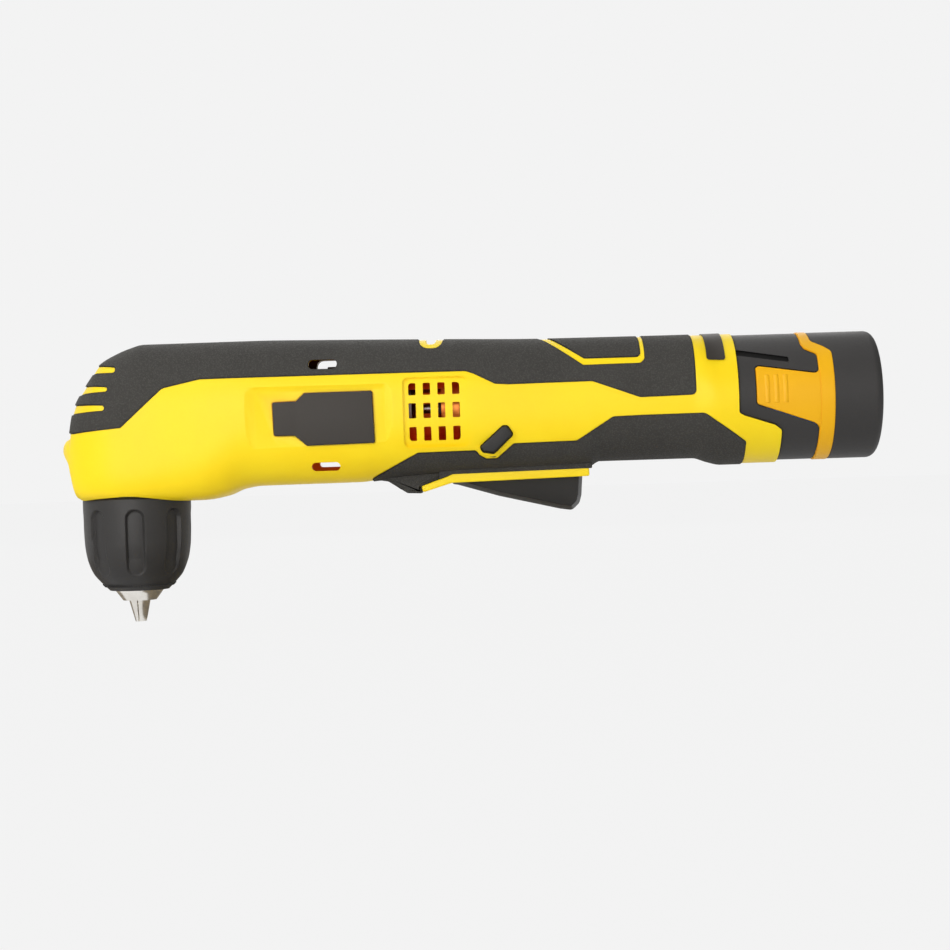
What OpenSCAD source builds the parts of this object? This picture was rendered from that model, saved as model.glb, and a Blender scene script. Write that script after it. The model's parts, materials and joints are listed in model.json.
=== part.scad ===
// Battery right angle drill: housing halves with soft grip, bevel and planet gears, motor, chuck, trigger, pack.
// The origin is at the jaw tips on the spindle axis. +X runs to the battery, +Z up the spindle, Y = 0 is the seam.

/* [Chuck] */
// Height from the jaw tips to the top of the chuck sleeve
chuck_h = 42.2; // [41:0.2:46]
// Largest diameter of the chuck sleeve
sleeve_d = 36.2; // [35:0.2:37.6]
// Diameter of the lower rim of the sleeve
sleeve_rim_d = 19.8; // [19:0.2:21]
// Height of the lower rim of the sleeve above the jaw tips
sleeve_foot = 10.8; // [10.4:0.2:11.4]
// Number of grip flutes round the sleeve
flute_count = 8; // [6:1:10]
// Width of a grip flute
flute_w = 6.6; // [5:0.2:8]
// Length of a grip flute
flute_l = 22.4; // [16:0.2:24]
// Depth of a grip flute
flute_depth = 1.1; // [0.6:0.1:1.4]
// Diameter of the steel nose
nose_d = 14.4; // [13.6:0.2:16]
// Diameter of a jaw
jaw_d = 6; // [5.6:0.1:6.2]
// Lean of the jaws towards the spindle axis, in degrees
jaw_lean = 15.5; // [15:0.5:16.5]
// Radius of the closed jaws at their tips
jaw_tip_r = 1.7; // [1.5:0.1:1.9]
// Smallest shank that the jaws hold
shank_min_d = 0.8; // [0.8:0.1:1.2]
// Largest shank that passes into the chuck
shank_max_d = 10; // [8:0.5:10]
// Diameter of the spindle thread
thread_d = 9.5; // [8:0.5:10]
// Length of thread in the chuck
thread_l = 13; // [10:0.5:14]

/* [Housing] */
// Reach of the head ahead of the spindle axis
head_front = 24; // [23.4:0.2:26]
// Width of the head
head_w = 44; // [43.6:0.2:48]
// Width of the motor body
body_w = 46; // [45:0.5:50]
// Width of the grip
grip_w = 42; // [42:0.5:46]
// Width of the battery collar
collar_w = 44; // [44:0.5:48]
// Height of the top above the drive axis, at the gears
body_up = 24.3; // [24.2:0.1:26]
// Depth of the underside below the drive axis, at the motor
body_down = 24.4; // [24.2:0.1:26]
// Height of the drive axis above the underside of the head
axis_rise = 26.5; // [26.4:0.1:28]
// Wall of the housing
wall = 2.6; // [2.4:0.1:2.8]
// Thickness of the floor of the head
floor_t = 2.1; // [2:0.1:2.4]
// Depth of the soft grip moulding in the wall
soft_t = 1.1; // [0.8:0.1:1.2]
// Height of the soft grip moulding above the housing
soft_proud = 0.35; // [0.2:0.05:0.6]
// Length of the grip, from the trigger guard to the rear of the housing
grip_l = 49; // [47:0.5:56]
// Length of the lower tongue of the collar under the battery
tongue_l = 14.2; // [10:0.2:16]
// Diameter of the shank of a housing screw
screw_d = 2.6; // [2.4:0.1:3]

/* [Gears] */
// Module of the bevel gears
bevel_module = 1; // [0.95:0.01:1.05]
// Face width of the bevel teeth
bevel_face = 4.5; // [3.5:0.1:5]
// Face width of the planet gears
planet_face = 6; // [5:0.2:6.6]
// Diameter of the drive shaft
drive_shaft_d = 8; // [7:0.2:8.4]
// Spindle axis to the planet stage
stage_x = 43; // [42.5:0.5:48]
// Wall of the gear case
case_wall = 1.6; // [1.4:0.1:1.8]

/* [Motor] */
// Diameter of the motor can
motor_d = 30.4; // [29:0.2:32]
// Length of the motor can
motor_l = 46; // [45:0.5:52]
// Diameter of the motor shaft
motor_shaft_d = 3.2; // [3:0.1:3.6]
// Diameter of the cooling fan
fan_d = 27; // [22:0.5:28]
// Room between the gear case and the motor
fan_room = 7.5; // [7:0.1:9]

/* [Trigger] */
// Length of the trigger lever
trigger_l = 44; // [43:0.5:48]
// Width of the trigger lever
trigger_w = 14; // [12:0.5:15]
// Drop of the trigger's rear end below the drive axis
trigger_drop = 35.9; // [34:0.1:37]
// Diameter of the trigger's hinge pin
trigger_pin_d = 3; // [2.4:0.1:3.4]
// Swing of the trigger, in degrees
trigger_swing = 9; // [7:0.5:10]
// Length of the switch body
switch_l = 23; // [20:0.5:24]
// Width of the switch body
switch_w = 15; // [13:0.5:17]
// Height of the switch body
switch_h = 17; // [14:0.5:18]
// Travel of the direction selector to each side
selector_travel = 2; // [1:0.1:2.4]

/* [Battery] */
// Diameter of the battery pack
battery_d = 42.6; // [42.4:0.1:43.6]
// Length of the battery pack behind the housing
battery_l = 48.1; // [47:0.1:54]
// Diameter of a cell
cell_d = 18; // [17.4:0.1:18]
// Length of a cell
cell_l = 64; // [60:0.5:65]
// Swing of a battery latch, in degrees
latch_swing = 3; // [2:0.5:3.5]

/* [Fits] */
// Clearance between moving pieces
clearance = 0.3; // [0.25:0.05:0.4]
// Radial clearance of a shaft in its bore
running_fit = 0.05; // [0.03:0.01:0.08]
// Gap between the two housing halves
seam_gap = 0.1; // [0.06:0.02:0.2]

/* [Hidden] */
$fn = 48;

gold = [1, 0.84, 0.16];
orange = [0.95, 0.72, 0.14];
rubber = [0.2, 0.2, 0.2];
satin_black = [0.16, 0.16, 0.17];
steel = [0.72, 0.72, 0.72];
copper = [0.72, 0.38, 0.2];
zinc = [0.6, 0.61, 0.63];

// Heights
head_floor = chuck_h + clearance;
inner_floor = head_floor + floor_t;
axis_z = head_floor + axis_rise;
battery_lift = 0.3;

// Places along the drive axis
stage_l = planet_face + 8;
case_end = stage_x + stage_l;
motor_x = case_end + fan_room;
motor_end = motor_x + motor_l;
end_cap_l = 5;
trigger_x = motor_end - 3.5;
selector_x = motor_end + end_cap_l + 7;
switch_x = selector_x + 7.6;
guard_x = trigger_x + trigger_l + 2.4;
rear_x = guard_x + grip_l;
battery_end = rear_x + battery_l;

// Chuck levels, counted from the jaw tips
jaw_r = jaw_d / 2;
jaw_l = chuck_h - thread_l - 7.4;
jaw_offset = jaw_tip_r - jaw_r / cos(jaw_lean);
jaw_gap = 0.26;
jaw_fit = 0.08;
jaw_travel = (shank_max_d - shank_min_d) / 2 / sin(jaw_lean);
shank_grip_l = 14;
nose_z = 7.3;
nut_z = 16.5;
nut_h = 5.5;
nut_r = 12.4;
body_step_z = nut_z + nut_h + 1.3;
chuck_core_r = 14.1;
chuck_phase = 264.3;
bore_r = shank_max_d / 2 + 0.15;
function jaw_edge(z) = jaw_offset + z * tan(jaw_lean) + jaw_r / cos(jaw_lean);
// The back of a jaw is hollowed so that it passes the end of the spindle as it draws in
function jaw_clear(z) = thread_d / 2 + 0.4 - (chuck_h - thread_l - 0.4 - z) * tan(jaw_lean);

// Smooth curve through a list of [x, value] points, without overshoot
function span(p, x, i = 0) = (i >= len(p) - 2 || x < p[i + 1][0]) ? i : span(p, x, i + 1);
function chord(p, i) = (p[i + 1][1] - p[i][1]) / (p[i + 1][0] - p[i][0]);
function mean_slope(a, b) = a * b <= 0 ? 0 : 2 * a * b / (a + b);
function slope(p, i) = i == 0 ? chord(p, 0)
    : i == len(p) - 1 ? chord(p, i - 1)
    : mean_slope(chord(p, i - 1), chord(p, i));
function hermite(a, b, da, db, t) = a * (2 * t^3 - 3 * t^2 + 1) + b * (3 * t^2 - 2 * t^3)
    + da * (t^3 - 2 * t^2 + t) + db * (t^3 - t^2);
function curve_on(p, x, i, h) = hermite(p[i][1], p[i + 1][1], h * slope(p, i), h * slope(p, i + 1),
    min(1, max(0, (x - p[i][0]) / h)));
function curve(p, x) = curve_on(p, x, span(p, x), p[span(p, x) + 1][0] - p[span(p, x)][0]);

// Outline of the housing: top and underside from the drive axis, half width, and squareness of the section
nose_r = head_w / 2;
nose_c = nose_r - head_front;
belly_x = 23;
grip_up = body_up - 2.4;
grip_down = body_down - 5.1;
collar_down = body_down - 2.6;
collar_up = body_up - 2.2;
top_line = [[-head_front, -10.9], [0.5 - head_front, -8.4], [1.6 - head_front, -6.6], [2.6 - head_front, -4.8],
    [3.2 - head_front, 0.5], [3.8 - head_front, 4.2], [5 - head_front, 6.8], [8 - head_front, 10.8],
    [11 - head_front, 14.8], [13.5 - head_front, 18.2], [19 - head_front, 21.2], [24 - head_front, body_up - 1.1],
    [28.5 - head_front, body_up], [stage_x, body_up], [motor_x, body_up - 0.4], [trigger_x, body_up - 1.4],
    [guard_x - 15, body_up - 2.2], [rear_x - 14, grip_up], [rear_x, collar_up], [rear_x + tongue_l, collar_up]];
under_line = [[-head_front, -11.3], [0.5 - head_front, -13.4], [2 - head_front, -16.6], [3.2 - head_front, -21.2],
    [4.5 - head_front, -25], [5.7 - head_front, -26.8], [9 - head_front, -28], [belly_x, -28.6],
    [belly_x + 8, -27.4], [belly_x + 14, -25.2], [stage_x, -body_down], [motor_x + 12, 0.2 - body_down],
    [motor_x + 18, 0.8 - body_down], [trigger_x, 2.2 - body_down], [guard_x - 3, 3 - body_down],
    [guard_x, 3.2 - body_down], [guard_x + 4, -grip_down], [rear_x - 15.4, -grip_down],
    [rear_x - 11.4, 0.9 - collar_down], [rear_x - 7, -collar_down], [rear_x + tongue_l, -collar_down]];
width_line = [[nose_c, nose_r], [12, nose_r + 0.2], [stage_x, body_w / 2], [motor_x + 20, body_w / 2],
    [trigger_x, body_w / 2 - 0.6], [guard_x - 15, grip_w / 2 + 0.3], [guard_x + 4, grip_w / 2],
    [rear_x - 15.4, grip_w / 2], [rear_x - 7, collar_w / 2], [rear_x + tongue_l, collar_w / 2]];
top_power = [[-head_front, 2.2], [0, 2.3], [stage_x, 2.7], [guard_x, 2.6], [rear_x - 15, 2.6], [rear_x - 6, 2.05],
    [rear_x + tongue_l, 2.05]];
under_power = [[-head_front, 2.6], [5.7 - head_front, 4], [0, 5], [12, 4.4], [stage_x, 2.8], [guard_x, 2.6],
    [rear_x - 15, 2.6], [rear_x - 6, 2.05], [rear_x + tongue_l, 2.05]];
ring_xs = concat([for (a = [0, 13, 24, 29, 34, 44, 56, 70]) nose_c - nose_r * cos(a)],
    [nose_c, nose_c + 6.5, 12, belly_x - 4, belly_x + 4, belly_x + 9, belly_x + 14],
    [stage_x + 1, motor_x, motor_x + 17, trigger_x - 6, trigger_x + 10, guard_x - 15, guard_x - 1],
    [guard_x + 1.5, guard_x + 4, rear_x - 15.4, rear_x - 11.5, rear_x - 7, rear_x + tongue_l + 0.4]);
skin_steps = 10;
// The inside of the shell needs fewer rings
inner_xs = [for (i = [0:len(ring_xs) - 1])
    if (i % 3 == 0 || ring_xs[i] == guard_x + 4 || i == len(ring_xs) - 1) ring_xs[i]];
inner_steps = 6;
// The collar's own rings
collar_xs = [for (x = ring_xs) if (x > rear_x - 16) x];
// A hole cut in the shell has flat sides, so it is drawn a little wider to clear a round piece
shell_fn = 20;
function clear_r(r) = r / cos(180 / shell_fn);

function nose_share(x) = min(1, max(0, (nose_c - x) / nose_r));
function flank_share(x) = sqrt(1 - nose_share(x)^2);
function half_width(x) = x < nose_c ? sqrt(max(0, nose_r^2 - (x - nose_c)^2)) : curve(width_line, x);
function section_z(top, under, s, n) = (top + under) / 2
    + max(0.3, (top - under) / 2) * sign(s) * pow(abs(s), 2 / n);
// One half ring of the housing skin, moved out by d; the two ends lie at the seam
function half_ring(x, d, side, seam, steps) = [for (k = [0:steps]) let (
    a = 180 * k / steps - 90,
    n = a > 0 ? curve(top_power, x) : curve(under_power, x),
    w = max(0.3, half_width(x) + d * flank_share(x)),
    y = k == 0 || k == steps ? seam : max(seam, w * pow(abs(cos(a)), 2 / n)),
    top = curve(top_line, x) + d * flank_share(x),
    under = curve(under_line, x) - d * flank_share(x))
    [x - d * nose_share(x), side * y, axis_z + section_z(top, under, sin(a), n)]];
function turned(face, side) = side > 0 ? face : [for (i = [len(face) - 1:-1:0]) face[i]];

// Half of the housing's skin as a closed solid, from the nose to the last ring
module half_skin(side, d, seam, xs = ring_xs, steps = skin_steps) {
    m = steps + 1;
    rings = len(xs);
    points = [for (x = xs) each half_ring(x, d, side, seam, steps)];
    sides = [for (i = [0:rings - 2], k = [0:m - 1], upper = [0, 1]) let (
        a = i * m + k,
        b = i * m + (k + 1) % m)
        turned(upper == 0 ? [a, a + m, b + m] : [a, b + m, b], side)];
    front = turned([for (k = [0:m - 1]) k], side);
    back = turned([for (k = [m - 1:-1:0]) (rings - 1) * m + k], side);
    polyhedron(points = points, faces = concat([front], sides, [back]), convexity = 6);
}

// A flat outline in the side view, counted from the drive axis, made a prism between two places across
module side_prism(y0, y1) {
    translate([0, y1, axis_z]) rotate([90, 0, 0]) linear_extrude(y1 - y0) children();
}
module on_axis(x) {
    translate([x, 0, axis_z]) rotate([0, 90, 0]) children();
}
module tube(r_out, r_in, h) {
    difference() {
        cylinder(r = r_out, h = h);
        translate([0, 0, -1]) cylinder(r = r_in, h = h + 2);
    }
}
module rounded(r) {
    offset(r = r, $fn = 8) offset(delta = -r) children();
}
// A stadium in the side view
module pill(x, z, length, height) {
    hull() for (s = [-1, 1]) translate([x + s * (length - height) / 2, z]) circle(d = height, $fn = 12);
}

// Soft grip pattern: upper sleeve with finger ribs, island behind the trigger, and lower band
soft_edge_z = 11.2;
module finger_slot(x, z, r, front_z, front_r) {
    hull() {
        translate([x - r, z]) circle(r = r, $fn = 8);
        translate([-head_front - 4, front_z]) circle(r = front_r, $fn = 8);
    }
}
// Thumb island behind the trigger, open over the top
module island(grow) {
    hull() {
        translate([guard_x - 22, 30 + grow]) circle(r = 0.1 + grow, $fn = 8);
        translate([guard_x - 0.6, 15 - grow / 4]) circle(r = 0.7 + grow, $fn = 8);
        translate([rear_x - 32.6, 15.4]) circle(r = 1.2 + grow, $fn = 8);
        translate([rear_x - 32, 40]) circle(r = 0.3 + grow, $fn = 8);
    }
}
module upper_pattern() {
    difference() {
        polygon([[-40, -5.3], [-17.4, -5.3], [-0.8, -4], [13.1, 8.6], [25.4, soft_edge_z], [guard_x - 39, soft_edge_z],
            [guard_x - 36.4, 10.3], [guard_x - 29.2, 6.7], [guard_x - 24.3, 6.4], [guard_x + 1.1, 6.6],
            [rear_x - 32.3, 0.8], [rear_x - 13.8, 1.1], [rear_x - 13.8, 40], [-40, 40]]);
        finger_slot(-3.1, 15.5, 0.9, 17.2, 2);
        finger_slot(-5.3, 9, 0.7, 9.6, 1.9);
        finger_slot(-6.2, 2.8, 0.8, 2.9, 1.8);
        difference() {
            island(1.5);
            island(0);
        }
    }
}
module lower_pattern() {
    polygon([[motor_x + 15.8, -40], [motor_x + 15.8, -23.2], [guard_x - 56.9, -14.8], [guard_x - 36.5, -14.5],
        [guard_x - 35.2, -15.8], [guard_x - 34.3, -17.2], [guard_x - 29.1, -18.6], [guard_x - 21.6, -12.8],
        [guard_x - 4.5, -12.5], [guard_x + 7.6, -5.1], [rear_x - 32.5, -4.9], [rear_x - 11.2, -4.8],
        [rear_x + 2.9, -12.6], [rear_x + 2.8, -14.9], [rear_x + 3.7, -40]]);
}
module soft_pattern(grow = 0) {
    offset(delta = grow) {
        upper_pattern();
        lower_pattern();
    }
}

// Screws that join the halves, as [x, height from the axis]
screw_places = [[27, 16.8], [27, -18.5], [motor_x + 12.5, 18.6], [motor_x + 12.5, -18.6], [selector_x - 2, 16.8],
    [guard_x - 4, 16.5], [guard_x + 6.1, -15.4]];
boss_r = 2.9;
screw_seat = 8;
screw_head_r = screw_d / 2 + 1.2;
screw_tip = 9;

// Openings that both halves share
slot_x = motor_x + 1.4;
vent_cols = [0, 4.8, 9.6, 14.4];
vent_rows = [[5.8, 4], [-1.3, 5], [-8.9, 4.6]];
vent_x = motor_x + 30.6;
vent_w = 2.4;
panel_depth = 1.2;
vent_depth = 1.5;
selector_shape = [[-5.5, -13.8], [2.1, -7.2], [3.6, -7.2], [5.4, -10], [-1, -16], [-4.6, -15.5]];
rail_w = 2.8;
rail_in = trigger_w / 2 + 0.4;
rail_shape = [[guard_x - 55.4, -25.5], [guard_x - 46, -22.5], [guard_x - 0.3, -21.4], [guard_x - 0.1, -24.4],
    [guard_x - 45.6, -25.5], [guard_x - 54.9, -28.3]];
pivot_x = trigger_x + 4.5;
pivot_z = -21.6;
lug_x = guard_x - 56.3;
lug_w = 17;
light_r = 2.3;
light_x = lug_x - 8.4;
light_z = -25.6;
light_tilt = 216;

module exhaust_slots() {
    pill(slot_x, 15, 9.6, 3.2);
    pill(slot_x, -18.7, 9.5, 2.8);
}
module vent_holes() {
    for (row = vent_rows, col = vent_cols)
        translate([vent_x + col, row[0]]) square([vent_w, row[1]], center = true);
}
module selector_outline(grow) {
    offset(delta = grow) translate([selector_x, 0]) rounded(0.6) polygon(selector_shape);
}
// Lip under the direction selector
module selector_lip(grow) {
    difference() {
        selector_outline(1.1 + grow);
        translate([selector_x - 8, -12]) square([18, 14]);
    }
}
// Channel for the trigger between the rails, open below
module trigger_channel() {
    translate([trigger_x - 1, -rail_in, axis_z - 40]) cube([guard_x + 0.1 - trigger_x, 2 * rail_in, 25]);
}
module rail(side, grow) {
    y0 = rail_in - grow;
    y1 = rail_in + rail_w + grow;
    side_prism(side > 0 ? y0 : -y1, side > 0 ? y1 : -y0) offset(delta = grow) {
        polygon(rail_shape);
        polygon([[guard_x - 46, -22.6], [guard_x - 46, -19.6], [guard_x - 0.3, -18.6], [guard_x - 0.3, -22]]);
    }
}
module screw_holes(side) {
    for (p = screw_places) translate([p[0], 0, axis_z + p[1]]) rotate([-90, 0, 0]) {
        translate([0, 0, -screw_tip - 0.5]) cylinder(d = screw_d + 0.3, h = 60, $fn = 8);
        if (side > 0) translate([0, 0, screw_seat]) cylinder(r = screw_head_r + clearance, h = 40, $fn = 8);
    }
}
module top_notch(w, depth) {
    hull() for (s = [-1, 1]) translate([motor_x + 37.1 + s * (3.9 - w / 2), 0, axis_z + body_up - 1.2 - depth])
        cylinder(d = w, h = 10, $fn = 12);
}

// Battery stem: three cells in a triangle, with the thin wall of the case round them
stem_wall = 0.5;
stem_z = -0.2;
stem_front = 0.9;
cap_t = 2.3;
stem_x = battery_end - cap_t - clearance - cell_l - stem_front;
cell_ring = cell_d / sqrt(3);
cell_angles = [0, 120, 240];
module stem_outline(grow) {
    for (a = cell_angles) rotate(a + 180) translate([cell_ring, 0]) circle(r = cell_d / 2 + stem_wall + grow);
    circle(r = cell_ring + grow);
}
tower_l = 15;
tower_w = 22;
tower_h = 15;
tower_x = stem_x - tower_l;
module battery_axis(x) {
    translate([x, 0, axis_z + battery_lift]) rotate([0, 90, 0]) children();
}
pack_core_r = battery_d / 2 - 1.4;
// Side view of what lies behind the rear edge of the housing and its tongue
module behind_housing(gap) {
    polygon([[rear_x + gap, 40], [rear_x + gap, -5.3], [rear_x + 1.8 + gap, -6.3 + gap],
        [rear_x + tongue_l - 2.3 + gap, -9.6 + gap], [rear_x + tongue_l + gap, -11.3], [rear_x + tongue_l + gap, -40],
        [rear_x + 80, -40], [rear_x + 80, 40]]);
}

// Ribs inside a half that carry the gear case, the motor, the switch and the terminals
rib_t = 2;
neck_r = 12;
ring_rim = 2.1;
case_room = 2;
sun_teeth = 12;
planet_teeth = 15;
ring_teeth = sun_teeth + 2 * planet_teeth;
// The planet stage fills the body
planet_module = 2 * (min(body_w / 2, body_up, body_down) - wall - case_room - case_wall - ring_rim) / ring_teeth;
case_r = planet_module * ring_teeth / 2 + ring_rim + case_wall;
module rib(x, hole_r) {
    on_axis(x) difference() {
        translate([-45, -45, 0]) cube([90, 90, rib_t]);
        translate([0, 0, -1]) cylinder(r = hole_r, h = rib_t + 2);
    }
}
switch_z = -15;
block_x = tower_x - 8;
block_w = 27;
block_h = 22;
module ribs() {
    rib(34, clear_r(neck_r + clearance / 2));
    rib(motor_x + 6, clear_r(motor_d / 2 + clearance / 2));
    rib(motor_end - 6, clear_r(motor_d / 2 + clearance / 2));
    difference() {
        translate([switch_x + 9, -40, axis_z - 40]) cube([rib_t, 80, 80]);
        translate([switch_x, -switch_w / 2 - 0.2, axis_z - 60])
            cube([switch_l, switch_w + 0.4, 60 + switch_z + switch_h + 0.2]);
    }
    difference() {
        translate([block_x + 2.5, -40, axis_z - 40]) cube([rib_t, 80, 80]);
        translate([block_x, -block_w / 2 - 0.2, axis_z - block_h / 2 - 0.2]) cube([10, block_w + 0.4, block_h + 0.4]);
    }
}

// One half of the housing: skin, recess for the soft grip, ribs and bosses, then the openings
module housing_half(side) {
    $fn = shell_fn;
    near = seam_gap / 2;
    cavity = concat([for (x = inner_xs) if (x < stem_x - 1) x], [stem_x + 1.4]);
    color(gold) difference() {
        union() {
            difference() {
                half_skin(side, 0, near);
                difference() {
                    side_prism(-60, 60) soft_pattern();
                    half_skin(side, -soft_t, -2);
                }
                half_skin(side, -wall, -3, cavity, inner_steps);
            }
            intersection() {
                half_skin(side, 0.4 - wall, near, inner_xs, inner_steps);
                union() {
                    ribs();
                    translate([0, 0, head_floor - 1]) cylinder(r = 17, h = floor_t + 1);
                    for (p = screw_places) translate([p[0], 0, axis_z + p[1]]) rotate([90, 0, 0])
                        cylinder(r = boss_r, h = 60, center = true, $fn = 8);
                    translate([pivot_x, 0, axis_z + pivot_z]) rotate([90, 0, 0])
                        cylinder(r = trigger_pin_d / 2 + 1.8, h = 60, center = true, $fn = 8);
                }
            }
            rail(side, 0);
            intersection() {
                half_skin(side, 0.5, near);
                side_prism(-60, 60) selector_lip(0);
            }
        }
        // Chuck recess and spindle opening
        translate([0, 0, -1]) cylinder(r = sleeve_d / 2 + 1.2, h = head_floor + 1, $fn = 32);
        cylinder(r = clear_r(9), h = axis_z);
        // Gear case and motor
        on_axis(2) cylinder(r = clear_r(neck_r + clearance / 2), h = 30);
        on_axis(stage_x - 2) cylinder(r = clear_r(case_r + clearance / 2), h = stage_l + 2.5);
        on_axis(motor_x) cylinder(r = clear_r(motor_d / 2 + clearance / 2), h = motor_l + end_cap_l);
        translate([0, 0, inner_floor]) cylinder(r = clear_r(chamber_r + chamber_wall + clearance / 2), h = axis_rise + 2);
        translate([0, 0, axis_z + 3]) cylinder(r1 = clear_r(chamber_r + chamber_wall + clearance),
            r2 = clear_r(bearing_top_r + 2 + clearance), h = bearing_top_z + bearing_top_h - 1);
        // Flat panels, vents and slots in the side walls
        side_prism(side > 0 ? body_w / 2 - panel_depth : -60, side > 0 ? 60 : panel_depth - body_w / 2)
            rounded(1.5) translate([stage_x - 0.9, -14.1]) square([44.6, 21.1]);
        side_prism(side > 0 ? body_w / 2 - vent_depth : -60, side > 0 ? 60 : vent_depth - body_w / 2)
            rounded(1.5) translate([vent_x - 2.7, -13]) square([20.6, 22.3]);
        side_prism(-60, 60) exhaust_slots();
        side_prism(-60, 60) vent_holes();
        side_prism(-60, 60) selector_outline(clearance);
        // Trigger, its pin, the light and the screws
        trigger_channel();
        translate([pivot_x, 0, axis_z + pivot_z]) rotate([90, 0, 0]) cylinder(r = clear_r(trigger_pin_d / 2), h = 21, center = true);
        light_pocket(light_r + 0.9, 9);
        screw_holes(side);
        top_notch(3, 2.2);
        // Battery socket and the end of the collar
        translate([0, 0, stem_z]) on_axis(stem_x - 0.5) linear_extrude(60) stem_outline(clearance + 0.1);
        battery_axis(rear_x - 0.01) cylinder(r = clear_r(pack_core_r + clearance), h = 60);
        side_prism(-60, 60) behind_housing(0);
    }
}
module housing_left() {
    housing_half(-1);
}
module housing_right() {
    housing_half(1);
}

// Pocket of the work light in the lug, along the light's own axis
module light_pocket(r, depth) {
    translate([light_x, 0, axis_z + light_z]) rotate([0, light_tilt, 0]) translate([0, 0, -depth])
        cylinder(r = r, h = depth + 8, $fn = 16);
}
module lug_outline() {
    polygon([[lug_x - 16.5, -23.4], [lug_x - 11.2, -24.3], [lug_x - 4.9, -28.4], [lug_x - 0.3, -28.6],
        [lug_x + 0.3, -28.2], [lug_x + 0.8, -25.5], [lug_x + 0.8, -20], [lug_x - 10.2, -20.3]]);
}
module lug(side) {
    near = seam_gap / 2;
    edge = lug_w / 2;
    hull() {
        side_prism(side > 0 ? near : 1.2 - edge, side > 0 ? edge - 1.2 : -near) lug_outline();
        side_prism(side > 0 ? near : -edge, side > 0 ? edge : -near) offset(delta = -1) lug_outline();
    }
}
// Soft grip moulded on one half
module soft_grip_half(side) {
    near = seam_gap / 2;
    lift = 0.05;
    color(rubber) difference() {
        union() {
            intersection() {
                difference() {
                    half_skin(side, soft_proud, near);
                    half_skin(side, lift - soft_t, -1);
                }
                side_prism(-60, 60) soft_pattern(-lift);
            }
            difference() {
                lug(side);
                half_skin(side, lift - soft_t, -1);
            }
        }
        side_prism(-60, 60) {
            exhaust_slots();
            selector_lip(lift);
        }
        trigger_channel();
        rail(side, lift);
        light_pocket(light_r + 0.1, 9);
        screw_holes(side);
        top_notch(7.8, 4);
        side_prism(-60, 60) behind_housing(0);
    }
}
module soft_grip_left() {
    soft_grip_half(-1);
}
module soft_grip_right() {
    soft_grip_half(1);
}

// Bare plates on the visible side
plate_t = 1;
module badge_plate() {
    seat = body_w / 2 - panel_depth;
    color(satin_black) side_prism(-seat - plate_t, -seat)
        polygon([[stage_x + 6.2, 2.8], [stage_x + 14.1, 3], [stage_x + 16.8, 5.6], [stage_x + 39.1, 5.7],
            [stage_x + 39.5, -11.4], [stage_x + 17.2, -11.7], [stage_x + 13.4, -8.3], [stage_x + 6.5, -8.2]]);
}
module label_plate() {
    color(satin_black) intersection() {
        difference() {
            half_skin(-1, 0.4, seam_gap, collar_xs);
            half_skin(-1, 0.1, seam_gap / 2, collar_xs);
        }
        side_prism(-60, 0) polygon([[rear_x - 9.7, 40], [rear_x - 9.9, 12.6], [rear_x - 3.7, 12.4], [rear_x - 3.8, 40]]);
    }
}
module housing_screws() {
    color(steel) for (p = screw_places) translate([p[0], 0, axis_z + p[1]]) rotate([-90, 0, 0]) difference() {
        union() {
            translate([0, 0, -screw_tip]) cylinder(d = screw_d - 0.04, h = screw_tip + screw_seat);
            translate([0, 0, screw_seat]) cylinder(r = screw_head_r, h = 2);
        }
        translate([0, 0, screw_seat + 1]) cylinder(r = 1, h = 2, $fn = 6);
    }
}

// Gear case: bevel chamber round the spindle, neck for the drive shaft, and drum for the planet stage
chamber_r = 14.1;
chamber_wall = 1.7;
bearing_low_h = 6;
bearing_low_r = 11;
spindle_r = 6;
wheel_seat_r = 5;
spindle_top_r = 4;
bearing_top_r = 7;
bearing_top_h = 4.5;
bearing_top_z = 8;
bearing_low_z = inner_floor + 1.4;
shaft_bearing_r = 8.5;
shaft_bearing_h = 5;
shaft_bearing_xs = [17, stage_x - 7];
module gear_case() {
    top = axis_z + bearing_top_z + bearing_top_h;
    color(zinc) difference() {
        union() {
            rotate_extrude() polygon([[0, inner_floor], [chamber_r + chamber_wall, inner_floor],
                [chamber_r + chamber_wall, axis_z + 3], [bearing_top_r + 2, top + 1.5], [0, top + 1.5]]);
            on_axis(4) cylinder(r = neck_r, h = stage_x - 4);
            on_axis(stage_x - 1.5) cylinder(r = case_r, h = stage_l - 1.5);
        }
        rotate_extrude() polygon([[0, inner_floor - 1], [9.2, inner_floor - 1], [9.2, bearing_low_z],
            [bearing_low_r + 0.02, bearing_low_z], [bearing_low_r + 0.02, bearing_low_z + bearing_low_h],
            [9.2, bearing_low_z + bearing_low_h], [9.2, bearing_low_z + bearing_low_h + 1],
            [chamber_r, bearing_low_z + bearing_low_h + 1], [chamber_r, axis_z + 3], [8.4, axis_z + bearing_top_z - 1],
            [5, axis_z + bearing_top_z - 1], [5, axis_z + bearing_top_z], [bearing_top_r + 0.02, axis_z + bearing_top_z],
            [bearing_top_r + 0.02, top], [0, top]]);
        on_axis(6) cylinder(r = shaft_bearing_r - 1, h = stage_x);
        for (x = shaft_bearing_xs) on_axis(x) cylinder(r = shaft_bearing_r + 0.02, h = shaft_bearing_h + 0.02);
        on_axis(stage_x) cylinder(r = case_r - case_wall, h = stage_l);
    }
}
module gear_cover() {
    color(zinc) on_axis(case_end - 3) difference() {
        union() {
            cylinder(r = case_r, h = 2.6);
            translate([0, 0, -0.4]) cylinder(r = case_r - case_wall - 0.1, h = 1);
        }
        translate([0, 0, -3]) cylinder(r = 6, h = 9);
    }
}
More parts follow.
